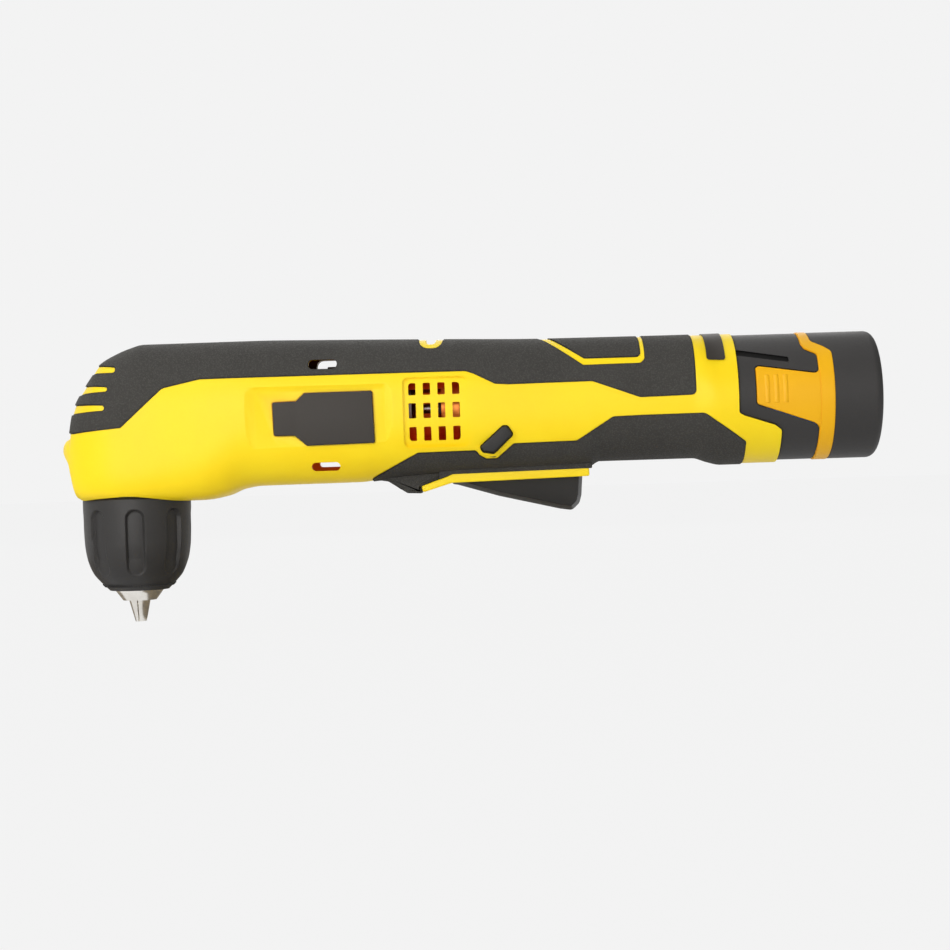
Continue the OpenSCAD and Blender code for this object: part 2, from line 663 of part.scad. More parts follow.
module bearing(r_in, r_out, h) {
    rim = (r_out - r_in) * 0.28;
    rotate_extrude() difference() {
        translate([r_in, 0]) square([r_out - r_in, h]);
        translate([r_in + rim, -0.1]) square([r_out - r_in - 2 * rim, 0.6]);
        translate([r_in + rim, h - 0.5]) square([r_out - r_in - 2 * rim, 0.6]);
    }
}
module spindle_bearing_lower() {
    color(steel) translate([0, 0, bearing_low_z]) bearing(spindle_r + running_fit, bearing_low_r, bearing_low_h);
}
module spindle_bearing_upper() {
    color(steel) translate([0, 0, axis_z + bearing_top_z])
        bearing(spindle_top_r + running_fit, bearing_top_r, bearing_top_h);
}
module shaft_bearing(i) {
    color(steel) on_axis(shaft_bearing_xs[i])
        bearing(drive_shaft_d / 2 + running_fit, shaft_bearing_r, shaft_bearing_h);
}
module shaft_bearing_front() {
    shaft_bearing(0);
}
module shaft_bearing_rear() {
    shaft_bearing(1);
}

// Bevel gears: the tooth section is an involute on the back cone, and it shrinks towards the common apex
pinion_teeth = 12;
wheel_teeth = 24;
pressure = 25;
bevel_play = 0.07;
cone_length = bevel_module * sqrt(pinion_teeth^2 + wheel_teeth^2) / 2;
function inv(a) = tan(a) * 180 / PI - a;
function roll(r_base, r) = r <= r_base ? 0 : inv(acos(r_base / r));
function tooth_half(r, r_base, e, half) = (r + e) * (half + inv(pressure) - roll(r_base, r + e)) * PI / 180;
function bevel_point(n, delta, e) = let (
    r = bevel_module * n / 2,
    back_r = r / cos(delta),
    half = 90 * cos(delta) / n,
    s = tooth_half(back_r, back_r * cos(pressure), e, half) - bevel_play)
    [tan(delta + atan(e / cone_length)), s / (r + e * cos(delta)) * 180 / PI];
module bevel_section(n, delta) {
    es = [-1.2, -0.35, 0.3, 0.95] * bevel_module;
    side = [for (e = es) bevel_point(n, delta, e)];
    up = [for (p = side) [p[0], min(p[1], 90 * 1.85 / n)]];
    polygon([for (i = [0:n - 1], s = [-1, 1], k = [0:3]) let (
        q = up[s < 0 ? k : 3 - k],
        a = 360 * i / n + s * q[1])
        q[0] * [cos(a), sin(a)]]);
}
// Teeth between two distances from the apex, cut to the blank
module bevel_teeth(n, delta, d0, d1) {
    translate([0, 0, d0]) linear_extrude(d1 - d0, scale = d1 / d0) scale(d0) bevel_section(n, delta);
}
pinion_cone = atan(pinion_teeth / wheel_teeth);
wheel_cone = 90 - pinion_cone;
function front_d(r, delta) = (cone_length - bevel_face - r * sin(delta)) / cos(delta);
function back_d(r, delta) = (cone_length - r * sin(delta)) / cos(delta);
module bevel_pinion() {
    pitch_r = bevel_module * pinion_teeth / 2;
    shaft_r = drive_shaft_d / 2;
    color(steel) on_axis(0) {
        intersection() {
            bevel_teeth(pinion_teeth, pinion_cone, 4, 18);
            rotate_extrude() polygon([[0, front_d(0, pinion_cone)],
                [pitch_r, front_d(pitch_r, pinion_cone)], [pitch_r * 1.5, back_d(pitch_r * 1.5, pinion_cone)],
                [shaft_r - 0.5, back_d(shaft_r - 0.5, pinion_cone)], [0, back_d(shaft_r - 0.5, pinion_cone)]]);
        }
        translate([0, 0, back_d(shaft_r, pinion_cone) - 0.5])
            cylinder(r = shaft_r, h = stage_x + 0.5 - back_d(shaft_r, pinion_cone) + 0.5);
    }
}
module bevel_wheel() {
    pitch_r = bevel_module * wheel_teeth / 2;
    bore = wheel_seat_r + 0.01;
    hub_d = axis_z - bearing_low_z - bearing_low_h - 0.6;
    color(steel) translate([0, 0, axis_z]) mirror([0, 0, 1]) rotate(180 / wheel_teeth) difference() {
        union() {
            intersection() {
                bevel_teeth(wheel_teeth, wheel_cone, 1.5, 14);
                rotate_extrude() polygon([[0, front_d(bore, wheel_cone)], [bore, front_d(bore, wheel_cone)],
                    [pitch_r * 0.7, front_d(pitch_r * 0.7, wheel_cone)],
                    [pitch_r * 1.12, back_d(pitch_r * 1.12, wheel_cone)],
                    [pitch_r * 0.84, back_d(pitch_r * 0.84, wheel_cone)], [0, back_d(pitch_r * 0.84, wheel_cone)]]);
            }
            translate([0, 0, back_d(pitch_r * 0.84, wheel_cone) - 1])
                cylinder(r = 8, h = hub_d + 1 - back_d(pitch_r * 0.84, wheel_cone));
        }
        translate([0, 0, -1]) cylinder(r = bore, h = hub_d + 3);
    }
}
module spindle() {
    seat = bearing_low_z + bearing_low_h + 0.4;
    top = axis_z + bearing_top_z + bearing_top_h - 0.4;
    color(steel) difference() {
        rotate_extrude() polygon([[0, chuck_h - thread_l], [thread_d / 2 - 0.05, chuck_h - thread_l],
            [thread_d / 2 - 0.05, chuck_h], [8, chuck_h], [8, bearing_low_z - 0.2], [spindle_r, bearing_low_z - 0.2],
            [spindle_r, seat], [wheel_seat_r, seat], [wheel_seat_r, axis_z + bearing_top_z - 2.4],
            [spindle_top_r, axis_z + bearing_top_z - 2.4], [spindle_top_r, top - 0.5], [spindle_top_r - 0.5, top], [0, top]]);
        translate([0, 0, chuck_h - thread_l - 1]) cylinder(d = 4, h = 12);
    }
}

// Planet stage: involute spur gears with the ring fixed in the case
gear_play = 0.06;
tooth_top = 0.886 * planet_module;
tooth_root = 1.17 * planet_module;
planet_orbit = planet_module * (sun_teeth + planet_teeth) / 2;
planet_x = stage_x + 4;
function spur_side(n, add, ded, play) = let (
    r = planet_module * n / 2,
    r_base = r * cos(pressure),
    half = 90 / n - play / r * 180 / PI)
    [for (e = [-ded, -0.55 * ded, 0, 0.5 * add, add]) [r + e, half + inv(pressure) - roll(r_base, r + e)]];
module spur(n, add = tooth_top, ded = tooth_root, play = gear_play) {
    side = spur_side(n, add, ded, play);
    polygon([for (i = [0:n - 1], s = [-1, 1], k = [0:4]) let (
        q = side[s < 0 ? k : 4 - k],
        a = 360 * i / n + s * q[1])
        q[0] * [cos(a), sin(a)]]);
}
module ring_gear() {
    color(steel) on_axis(planet_x - 0.5) linear_extrude(planet_face + 1) difference() {
        circle(r = case_r - case_wall - 0.05);
        spur(ring_teeth, tooth_root, 0.97 * tooth_top, -gear_play);
    }
}
module planet_gear(i) {
    color(steel) on_axis(planet_x) rotate(120 * i) translate([planet_orbit, 0, 0]) linear_extrude(planet_face)
        difference() {
            spur(planet_teeth);
            circle(r = 1.6 + running_fit);
        }
}
module planet_gear_1() {
    planet_gear(0);
}
module planet_gear_2() {
    planet_gear(1);
}
module planet_gear_3() {
    planet_gear(2);
}
module planet_carrier() {
    color(steel) on_axis(stage_x + 0.6) {
        difference() {
            cylinder(r = planet_orbit + 3, h = 3);
            translate([0, 0, -1]) cylinder(r = 2.2, h = 5);
        }
        for (i = [0:2]) rotate(120 * i) translate([planet_orbit, 0, 2]) cylinder(r = 1.6, h = planet_face + 1.6);
    }
}
module motor_pinion() {
    color(steel) on_axis(planet_x - 0.2) linear_extrude(planet_face + 4) difference() {
        spur(sun_teeth);
        circle(d = motor_shaft_d + 0.02);
    }
}

// Motor
can_wall = 1.2;
can_x = motor_x + 1.9;
can_l = motor_end - can_x;
core_x = motor_x + 10;
core_l = motor_l - 26;
core_r = motor_d / 2 - can_wall - 2.4;
comm_x = motor_end - 9;
module motor_can() {
    color(zinc) on_axis(can_x) difference() {
        cylinder(d = motor_d, h = can_l);
        translate([0, 0, can_wall]) cylinder(r = motor_d / 2 - can_wall, h = can_l);
        translate([0, 0, -1]) cylinder(r = motor_shaft_d / 2 + running_fit, h = 6);
        for (a = [45:90:315]) rotate(a) translate([8.5, 0, -1]) cylinder(r = 2, h = 4);
        translate([-6, -30, can_l - 17]) cube([12, 60, 11]);
    }
}
module motor_magnets() {
    color([0.3, 0.3, 0.32]) on_axis(core_x - 1) for (a = [0, 180]) rotate(a) intersection() {
        tube(motor_d / 2 - can_wall - 0.05, core_r + 0.5, core_l + 2);
        linear_extrude(core_l + 2) polygon([[0, 0], [20, -20], [20, 20]]);
    }
}
module motor_end_cap() {
    color(satin_black) on_axis(motor_end + 0.05) difference() {
        union() {
            cylinder(d = motor_d - 0.4, h = end_cap_l - 2);
            cylinder(r = 6, h = end_cap_l - 0.2);
            translate([0, 0, -4]) tube(motor_d / 2 - can_wall - 0.1, motor_d / 2 - can_wall - 1.6, 5);
        }
        translate([0, 0, -6]) cylinder(r = motor_shaft_d / 2 + running_fit, h = end_cap_l + 8);
        for (a = [30, 150, 210, 330]) rotate(a) translate([10, 0, -6]) cylinder(r = 1.8, h = 12);
    }
}
module motor_brushes() {
    color([0.25, 0.24, 0.24]) for (s = [-1, 1]) translate([comm_x + 2, s < 0 ? -9.2 : 4.7, axis_z - 2]) {
        cube([4, 4.5, 4]);
        translate([0, s < 0 ? -2.8 : 4.5, 0]) cube([6.9, 2.8, 4]);
    }
}
module armature_core() {
    arms = 5;
    color(steel) on_axis(core_x) linear_extrude(core_l) difference() {
        union() {
            circle(r = 4.5);
            for (i = [0:arms - 1]) rotate(360 / arms * i) {
                translate([3, -1.6]) square([core_r - 4, 3.2]);
                intersection() {
                    difference() {
                        circle(r = core_r);
                        circle(r = core_r - 1.6);
                    }
                    polygon([[0, 0], [20, -13], [20, 13]]);
                }
            }
        }
        circle(d = motor_shaft_d + 0.02);
    }
}
module armature_windings() {
    arms = 5;
    color(copper) for (end = [0, 1]) on_axis(core_x + (end == 0 ? -3.2 : core_l + 0.05)) difference() {
        rotate_extrude() polygon([[3.4, 0.4], [core_r - 3.4, 0], [core_r - 2, 1.2], [core_r - 2, 2.6],
            [core_r - 2.6, 3.15], [3.4, 3.15]]);
        for (i = [0:arms - 1]) rotate(360 / arms * (i + 0.5)) translate([core_r - 2, 0, -1]) cylinder(r = 2.2, h = 6);
    }
}
module commutator() {
    bars = 10;
    color(copper) on_axis(comm_x) difference() {
        cylinder(r = 4.4, h = 8.2);
        translate([0, 0, -1]) cylinder(d = motor_shaft_d + 0.02, h = 11);
        for (i = [0:bars - 1]) rotate(360 / bars * i) translate([3.6, -0.25, -1]) cube([2, 0.5, 7.6]);
    }
}
module motor_shaft() {
    color(steel) on_axis(planet_x - 0.2)
        cylinder(d = motor_shaft_d, h = motor_end + end_cap_l - 1.2 - planet_x);
}
module motor_fan() {
    blades = 9;
    hub_r = 4;
    depth = fan_room - 1.6;
    color([0.85, 0.85, 0.82]) on_axis(case_end + 0.8) difference() {
        union() {
            cylinder(r = hub_r, h = depth);
            translate([0, 0, depth - 1]) cylinder(d = fan_d, h = 1);
            for (i = [0:blades - 1]) rotate(360 / blades * i) translate([hub_r - 0.5, -0.5, 0])
                cube([fan_d / 2 - hub_r, 1, depth]);
        }
        translate([0, 0, -1]) cylinder(d = motor_shaft_d + 0.02, h = depth + 2);
    }
}

// Trigger lever with its pin, the switch above it and the direction selector
module trigger_outline() {
    polygon([[trigger_x + 0.1, -25.8], [trigger_x + 2.1, -26.1], [trigger_x + 16.2, 5.5 - trigger_drop],
        [trigger_x + trigger_l - 7.5, 0.6 - trigger_drop], [trigger_x + trigger_l - 3.5, -trigger_drop],
        [trigger_x + trigger_l - 1, 2.3 - trigger_drop], [trigger_x + trigger_l - 0.2, 5 - trigger_drop],
        [trigger_x + trigger_l + 0.3, -24.5], [trigger_x + trigger_l + 0.3, -22.6], [pivot_x + 4, -19.8],
        [pivot_x - 1.5, -19], [trigger_x + 0.6, -21]]);
}
module trigger() {
    color(satin_black) difference() {
        hull() {
            side_prism(-trigger_w / 2 + 1.6, trigger_w / 2 - 1.6) trigger_outline();
            side_prism(-trigger_w / 2, trigger_w / 2) offset(delta = -1) trigger_outline();
        }
        translate([pivot_x, 0, axis_z + pivot_z]) rotate([90, 0, 0])
            cylinder(d = trigger_pin_d + 2 * running_fit, h = 60, center = true);
    }
}
module trigger_pin() {
    color(steel) translate([pivot_x, 0, axis_z + pivot_z]) rotate([90, 0, 0])
        cylinder(d = trigger_pin_d - 0.02, h = 20.2, center = true);
}
plunger_x = switch_x + 4.5;
plunger_r = 2.6;
function trigger_top(x) = -19.8 - 2.8 * (x - pivot_x - 4) / (trigger_x + trigger_l + 0.3 - pivot_x - 4);
module switch_body() {
    color(satin_black) difference() {
        union() {
            translate([switch_x, -switch_w / 2, axis_z + switch_z]) cube([switch_l, switch_w, switch_h]);
            translate([switch_x + switch_l - 6, -switch_w / 2 + 2, axis_z + switch_z + switch_h - 0.5])
                cube([4, switch_w - 4, 3]);
            translate([plunger_x, 0, axis_z + switch_z - 1]) cylinder(r = plunger_r + 1.4, h = 3);
        }
        translate([plunger_x, 0, axis_z + switch_z - 2]) cylinder(r = plunger_r + 0.1, h = 11);
        for (s = [-1, 1]) translate([switch_x + switch_l - 9, s * switch_w / 2, axis_z + switch_z + 4])
            rotate([90, 0, 0]) cylinder(r = 1.6, h = 2, center = true);
    }
}
module switch_plunger() {
    foot = trigger_top(plunger_x - plunger_r) + 0.15;
    color([0.6, 0.1, 0.1]) translate([plunger_x, 0, axis_z + foot]) cylinder(r = plunger_r, h = switch_z + 3 - foot);
}
module direction_selector() {
    reach = half_width(selector_x) + 0.4;
    color(satin_black) {
        for (s = [-1, 1]) side_prism(s < 0 ? -reach : reach - 7, s < 0 ? 7 - reach : reach) selector_outline(0);
        side_prism(6.9 - reach, reach - 6.9) translate([selector_x - 2.4, -12.9]) square([3.8, 3.3]);
    }
}
module work_light() {
    color([0.9, 0.9, 0.8]) translate([light_x, 0, axis_z + light_z]) rotate([0, light_tilt, 0])
        translate([0, 0, -6.5]) {
            cylinder(r = light_r - 0.2, h = 4.9);
            cylinder(r = light_r, h = 1);
        }
}
module work_light_lens() {
    color([0.8, 0.9, 1, 0.5]) translate([light_x, 0, axis_z + light_z]) rotate([0, light_tilt, 0])
        translate([0, 0, -1.4]) cylinder(r1 = light_r, r2 = light_r - 0.4, h = 2);
}

// Battery terminals in the grip
module terminal_block() {
    color(satin_black) difference() {
        translate([block_x, -block_w / 2, axis_z - block_h / 2]) cube([6.6, block_w, block_h]);
        for (s = [-1, 0, 1]) translate([block_x + 2, s * 8 - 2, axis_z - 5]) cube([9, 4, 9]);
    }
}
module terminal_clips() {
    color(steel) for (s = [-1, 0, 1]) translate([block_x + 2.05, s * 8, axis_z]) for (t = [-1, 1])
        translate([0, t < 0 ? -1.9 : 1.1, -4]) cube([4.4, 0.8, 7]);
}

// Keyless chuck
module chuck_body() {
    top = chuck_h - 0.4;
    groove_z = nut_z - clearance;
    groove_top = nut_z + nut_h + clearance;
    groove_r = jaw_edge(groove_z) - 0.3;
    color(steel) difference() {
        rotate_extrude() polygon([[bore_r, nose_z], [bore_r + 0.5, nose_z], [nose_d / 2, nose_z + 3.2],
            [nose_d / 2, sleeve_foot + 0.6], [8.5, sleeve_foot + 0.6], [8.5, groove_z], [groove_r, groove_z],
            [groove_r, groove_top], [nut_r - 0.4, groove_top], [nut_r - 0.4, body_step_z],
            [chuck_core_r, body_step_z], [chuck_core_r, top], [thread_d / 2, top], [thread_d / 2, chuck_h - thread_l - 0.5],
            [bore_r, chuck_h - thread_l - 0.5]]);
        for (i = [0:2]) intersection() {
            jaw_place(i) translate([0, 0, nose_z]) cylinder(r = jaw_r + jaw_fit, h = jaw_l + jaw_travel + 1.5 - nose_z);
            jaw_sector(i, 0.02);
        }
    }
}
// The third of the chuck that holds a jaw, cut back from its neighbours
module jaw_sector(i, gap) {
    reach = 20;
    rotate([0, 0, chuck_phase + 60 + 120 * i]) linear_extrude(60)
        polygon([[gap, 0], [reach, (reach - gap) * tan(60)], [reach, -(reach - gap) * tan(60)]]);
}
module jaw_place(i) {
    rotate([0, 0, chuck_phase + 60 + 120 * i]) translate([jaw_offset, 0, 0]) rotate([0, jaw_lean, 0]) children();
}
module jaw(i) {
    color(steel) difference() {
        intersection() {
            jaw_place(i) translate([0, 0, -3]) cylinder(r = jaw_r, h = jaw_l + 3);
            jaw_sector(i, jaw_gap);
        }
        translate([0, 0, -1]) cylinder(d = shank_min_d, h = 60);
        translate([0, 0, shank_grip_l]) cylinder(r1 = jaw_clear(shank_grip_l), r2 = jaw_clear(jaw_l + 2),
            h = jaw_l + 2 - shank_grip_l);
    }
}
module jaw_1() {
    jaw(0);
}
module jaw_2() {
    jaw(1);
}
module jaw_3() {
    jaw(2);
}
module chuck_screw() {
    color(steel) difference() {
        union() {
            translate([0, 0, chuck_h - thread_l - 3.2]) cylinder(r = 3.6, h = 3);
            translate([0, 0, chuck_h - thread_l - 1]) cylinder(d = 3.9, h = 11);
        }
        translate([0, 0, chuck_h - thread_l - 4]) cylinder(r = 1.5, h = 2.4, $fn = 6);
    }
}
module chuck_nut() {
    color(steel) rotate_extrude() polygon([[jaw_edge(nut_z) + 0.2, nut_z], [nut_r, nut_z], [nut_r, nut_z + nut_h],
        [jaw_edge(nut_z + nut_h) + 0.2, nut_z + nut_h]]);
}
// Outer line of the sleeve, moved in by d
function sleeve_line(d) = let (r = sleeve_d / 2, rim = sleeve_rim_d / 2, f = sleeve_foot)
    [[rim - d, f], [rim + 2.5 - d, f + 2.5], [rim + 5.1 - d, f + 5.6], [r - 1.7 - d, f + 8.4], [r - 0.8 - d, f + 11.6],
    [r - 0.2 - d, f + 16], [r - d, f + 22], [r - d, chuck_h - 0.9], [r - 0.7 - d, chuck_h]];
module sleeve_blank(d) {
    rotate_extrude() polygon(concat([[0, sleeve_foot]], sleeve_line(d), [[0, chuck_h]]));
}
module chuck_sleeve() {
    flute_z = sleeve_foot + 5 + flute_l / 2;
    color(satin_black) difference() {
        union() {
            sleeve_blank(flute_depth);
            difference() {
                sleeve_blank(0);
                for (i = [0:flute_count - 1]) rotate([0, 0, chuck_phase + 360 / flute_count * i])
                    translate([5, 0, flute_z]) rotate([0, 90, 0]) linear_extrude(30) {
                        square([flute_l - flute_w, flute_w], center = true);
                        for (s = [-1, 1]) translate([s * (flute_l - flute_w) / 2, 0]) circle(d = flute_w);
                    }
            }
        }
        translate([0, 0, sleeve_foot - 1]) cylinder(r = 8.5 + clearance, h = 40);
        translate([0, 0, nut_z - 0.4]) cylinder(r = nut_r + 0.02, h = 40);
        translate([0, 0, body_step_z - clearance]) cylinder(r = chuck_core_r + clearance, h = 40);
    }
}

// Battery pack: case with stem and contact tower, end cap, band, and a latch on each side
skin_r = battery_d / 2;
band_in = skin_r - 1.4;
band_x = rear_x + 26.4;
// Side view of the yellow band round the pack
module band_outline(gap) {
    offset(delta = gap) polygon([[band_x - 4.3, 40], [band_x - 4.3, 17], [band_x - 3.5, 15.3], [band_x + 0.4, 13.4],
        [band_x + 0.4, -40], [band_x + 5.4, -40], [band_x + 5.4, 14.4], [band_x + 3, 16.2], [band_x - 0.8, 18.2],
        [band_x - 0.9, 40]]);
}
// Side view of a latch tab
latch_gap = 0.35;
module latch_outline() {
    polygon([[rear_x + 6, 9.7], [rear_x + 6, -2.5], [band_x + 0.1, -9.7], [band_x + 0.1, 6.9], [rear_x + 7.5, 10]]);
}
module behind_band(gap) {
    polygon([[band_x - 0.9 + gap, 40], [band_x - 0.8 + gap, 18.2 + gap], [band_x + 3 + gap, 16.2],
        [band_x + 5.4 + gap, 14.4], [band_x + 5.4 + gap, -40], [band_x + 60, -40], [band_x + 60, 40]]);
}
// Screws of the end cap, between the cells; each starts at its tip
pack_screw_r = 1.2;
pack_screw_l = 7.5;
module pack_screw_places() {
    for (a = cell_angles) battery_axis(rear_x + battery_l - 1.4 - pack_screw_l) rotate(a) translate([14.5, 0, 0]) children();
}
module battery_case() {
    fit = 0.05;
    color(satin_black) difference() {
        union() {
            translate([0, 0, stem_z]) on_axis(stem_x) linear_extrude(rear_x + 4 - stem_x) stem_outline(0);
            battery_axis(rear_x + clearance) cylinder(r = pack_core_r, h = battery_l - cap_t - 0.1 - clearance);
            intersection() {
                battery_axis(rear_x) cylinder(r = skin_r, h = battery_l - 10);
                side_prism(-60, 60) difference() {
                    behind_housing(clearance);
                    behind_band(-1);
                    band_outline(fit);
                }
            }
            // The tower keeps inside the stem's outline, so that it follows the stem through the socket
            intersection() {
                translate([tower_x, -tower_w / 2, axis_z - tower_h / 2]) cube([tower_l + 1, tower_w, tower_h]);
                translate([0, 0, stem_z]) on_axis(tower_x - 1) linear_extrude(tower_l + 3) stem_outline(0);
            }
        }
        for (a = cell_angles) translate([0, 0, stem_z]) on_axis(stem_x + stem_front - 0.1) rotate(a + 180)
            translate([cell_ring, 0, 0]) cylinder(r = cell_d / 2 + 0.05, h = cell_l + 10);
        for (side = [-1, 1]) intersection() {
            battery_axis(rear_x) tube(skin_r + 5, skin_r - 2.9, 40);
            side_prism(side < 0 ? -60 : 5, side < 0 ? -5 : 60) offset(delta = latch_gap) latch_outline();
        }
        for (side = [-1, 1]) intersection() {
            battery_axis(rear_x - 5) tube(skin_r + 5, skin_r - 0.9, 40);
            side_prism(side < 0 ? -60 : 1, side < 0 ? -1 : 60)
                polygon([[rear_x - 1, 15.6], [rear_x + 17.2, 12.3], [rear_x + 17.4, 11.1], [rear_x - 1, 14.3]]);
        }
        for (s = [-1, 0, 1]) translate([tower_x - 1, s * 8 - 1.1, axis_z - 5]) cube([9, 2.2, 8.2]);
        pack_screw_places() translate([0, 0, -0.5]) cylinder(r = pack_screw_r + 0.02, h = 20);
    }
}
module battery_end_cap() {
    color(satin_black) difference() {
        intersection() {
            battery_axis(rear_x) rotate_extrude() polygon(concat([[0, 10], [skin_r + 0.1, 10]],
                [for (a = [0:15:90]) [skin_r - 2.9 + 3 * cos(a), battery_l - 3 + 3 * sin(a)]], [[0, battery_l]]));
            side_prism(-60, 60) behind_band(0.05);
        }
        battery_axis(rear_x) cylinder(r = pack_core_r + 0.05, h = battery_l - cap_t);
        pack_screw_places() {
            cylinder(r = pack_screw_r + 0.05, h = 20);
            translate([0, 0, pack_screw_l - 0.02]) cylinder(r = 2.7, h = 10);
        }
    }
}
module battery_band() {
    color(orange) intersection() {
        battery_axis(rear_x) tube(skin_r + 0.3, pack_core_r + 0.05, battery_l);
        side_prism(-60, 60) band_outline(0);
    }
}
module latch(side) {
    ribs = 4;
    color(orange) intersection() {
        side_prism(side < 0 ? -60 : 5, side < 0 ? -5 : 60) latch_outline();
        union() {
            battery_axis(rear_x) tube(skin_r + 0.1, skin_r - 1.4, 40);
            for (i = [0:ribs - 1]) battery_axis(rear_x + 8.4 + 2.7 * i) tube(skin_r + 0.6, skin_r - 1, 1.1);
        }
    }
}
module latch_left() {
    latch(-1);
}
module latch_right() {
    latch(1);
}
module battery_cells() {
    color([0.2, 0.45, 0.7]) for (a = cell_angles) translate([0, 0, stem_z]) on_axis(stem_x + stem_front) rotate(a + 180)
        translate([cell_ring, 0, 0]) {
            cylinder(d = cell_d - 0.1, h = cell_l - 1);
            cylinder(r = 3, h = cell_l);
        }
}
module battery_contacts() {
    color(copper) for (s = [-1, 0, 1]) translate([tower_x - 2.4, s * 8 - 0.6, axis_z - 3]) cube([10.39, 1.2, 6]);
}
module battery_screws() {
    color(steel) pack_screw_places() difference() {
        union() {
            cylinder(r = pack_screw_r, h = pack_screw_l + 0.5);
            translate([0, 0, pack_screw_l]) cylinder(r = 2.3, h = 1);
        }
        translate([0, 0, pack_screw_l + 0.4]) cylinder(r = 0.8, h = 2, $fn = 6);
    }
}

housing_left();
housing_right();
soft_grip_left();
soft_grip_right();
badge_plate();
label_plate();
housing_screws();
gear_case();
gear_cover();
ring_gear();
planet_gear_1();
planet_gear_2();
planet_gear_3();
planet_carrier();
bevel_pinion();
bevel_wheel();
spindle();
spindle_bearing_lower();
spindle_bearing_upper();
shaft_bearing_front();
shaft_bearing_rear();
motor_can();
motor_magnets();
motor_end_cap();
motor_brushes();
armature_core();
armature_windings();
commutator();
motor_shaft();
motor_fan();
motor_pinion();
trigger();
trigger_pin();
switch_body();
switch_plunger();
direction_selector();
work_light();
work_light_lens();
terminal_block();
terminal_clips();
chuck_body();
chuck_screw();
chuck_nut();
chuck_sleeve();
jaw_1();
jaw_2();
jaw_3();
battery_case();
battery_end_cap();
battery_band();
latch_left();
latch_right();
battery_cells();
battery_contacts();
battery_screws();
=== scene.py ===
import bpy
import bmesh
import json
import math
import numpy as np
from mathutils import Matrix, Vector

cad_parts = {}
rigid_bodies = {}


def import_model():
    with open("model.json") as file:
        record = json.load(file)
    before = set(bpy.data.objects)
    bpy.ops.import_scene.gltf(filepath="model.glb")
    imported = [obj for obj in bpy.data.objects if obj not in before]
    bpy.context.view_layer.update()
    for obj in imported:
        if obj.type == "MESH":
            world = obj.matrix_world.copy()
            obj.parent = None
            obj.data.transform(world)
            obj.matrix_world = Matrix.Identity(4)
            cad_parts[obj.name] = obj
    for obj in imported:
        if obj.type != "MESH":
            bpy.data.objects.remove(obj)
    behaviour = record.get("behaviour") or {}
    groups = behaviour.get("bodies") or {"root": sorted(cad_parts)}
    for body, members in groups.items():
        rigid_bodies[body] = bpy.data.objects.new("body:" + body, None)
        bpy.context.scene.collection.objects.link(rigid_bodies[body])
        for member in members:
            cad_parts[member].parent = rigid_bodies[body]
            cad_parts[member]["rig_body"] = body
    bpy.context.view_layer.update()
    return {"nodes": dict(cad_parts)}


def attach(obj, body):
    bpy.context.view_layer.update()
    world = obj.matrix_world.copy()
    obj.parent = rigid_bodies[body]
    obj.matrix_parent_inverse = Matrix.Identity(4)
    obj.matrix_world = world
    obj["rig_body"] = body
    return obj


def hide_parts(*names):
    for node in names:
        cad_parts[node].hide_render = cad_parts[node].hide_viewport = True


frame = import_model()
nodes = frame["nodes"]
print("frame loaded with", len(nodes), "nodes")

mm = 0.001
axisZ = 69.0  # drive axis above the jaw tips, all lengths in mm until a mesh is made
scene = bpy.context.scene


# small mesh helpers
def addObject(name, mesh):
    obj = bpy.data.objects.new(name, mesh)
    scene.collection.objects.link(obj)
    return obj


def solidFrom(name, verts, faces):
    mesh = bpy.data.meshes.new(name)
    mesh.from_pydata([(x * mm, y * mm, z * mm) for x, y, z in verts], [], faces)
    work = bmesh.new()
    work.from_mesh(mesh)
    bmesh.ops.remove_doubles(work, verts=work.verts, dist=1e-7)
    bmesh.ops.recalc_face_normals(work, faces=work.faces)
    work.to_mesh(mesh)
    work.free()
    return addObject(name, mesh)


def bake(obj):
    # turns the modifiers into a plain mesh
    graph = bpy.context.evaluated_depsgraph_get()
    mesh = bpy.data.meshes.new_from_object(obj.evaluated_get(graph))
    old = obj.data
    obj.modifiers.clear()
    obj.data = mesh
    bpy.data.meshes.remove(old)
    return obj


def combine(obj, tool, how):
    # a boolean step that uses the tool up
    step = obj.modifiers.new("cut", "BOOLEAN")
    step.operation = how
    step.solver = "MANIFOLD"
    step.object = tool
    bake(obj)
    bpy.data.objects.remove(tool)
    return obj


def cut(obj, tool):
    return combine(obj, tool, "DIFFERENCE")


def join(obj, tool):
    return combine(obj, tool, "UNION")


def trim(obj, tool):
    return combine(obj, tool, "INTERSECT")


def joined(pieces):
    # one solid from several
    for piece in pieces[1:]:
        join(pieces[0], piece)
    return pieces[0]


def copyOf(obj):
    return addObject(obj.name + "Copy", obj.data.copy())


def finishMesh(obj, material, sharp):
    mesh = obj.data
    mesh.materials.clear()
    mesh.materials.append(material)
    mesh.polygons.foreach_set("use_smooth", [True] * len(mesh.polygons))
    mesh.set_sharp_from_angle(angle=math.radians(sharp))
    mesh.update()
    return obj


def soften(obj, width, segments=3, angle=35):
    # rounds the sharp edges
    step = obj.modifiers.new("soften", "BEVEL")
    step.width, step.segments, step.limit_method = width * mm, segments, "ANGLE"
    step.angle_limit = math.radians(angle)
    return bake(obj)


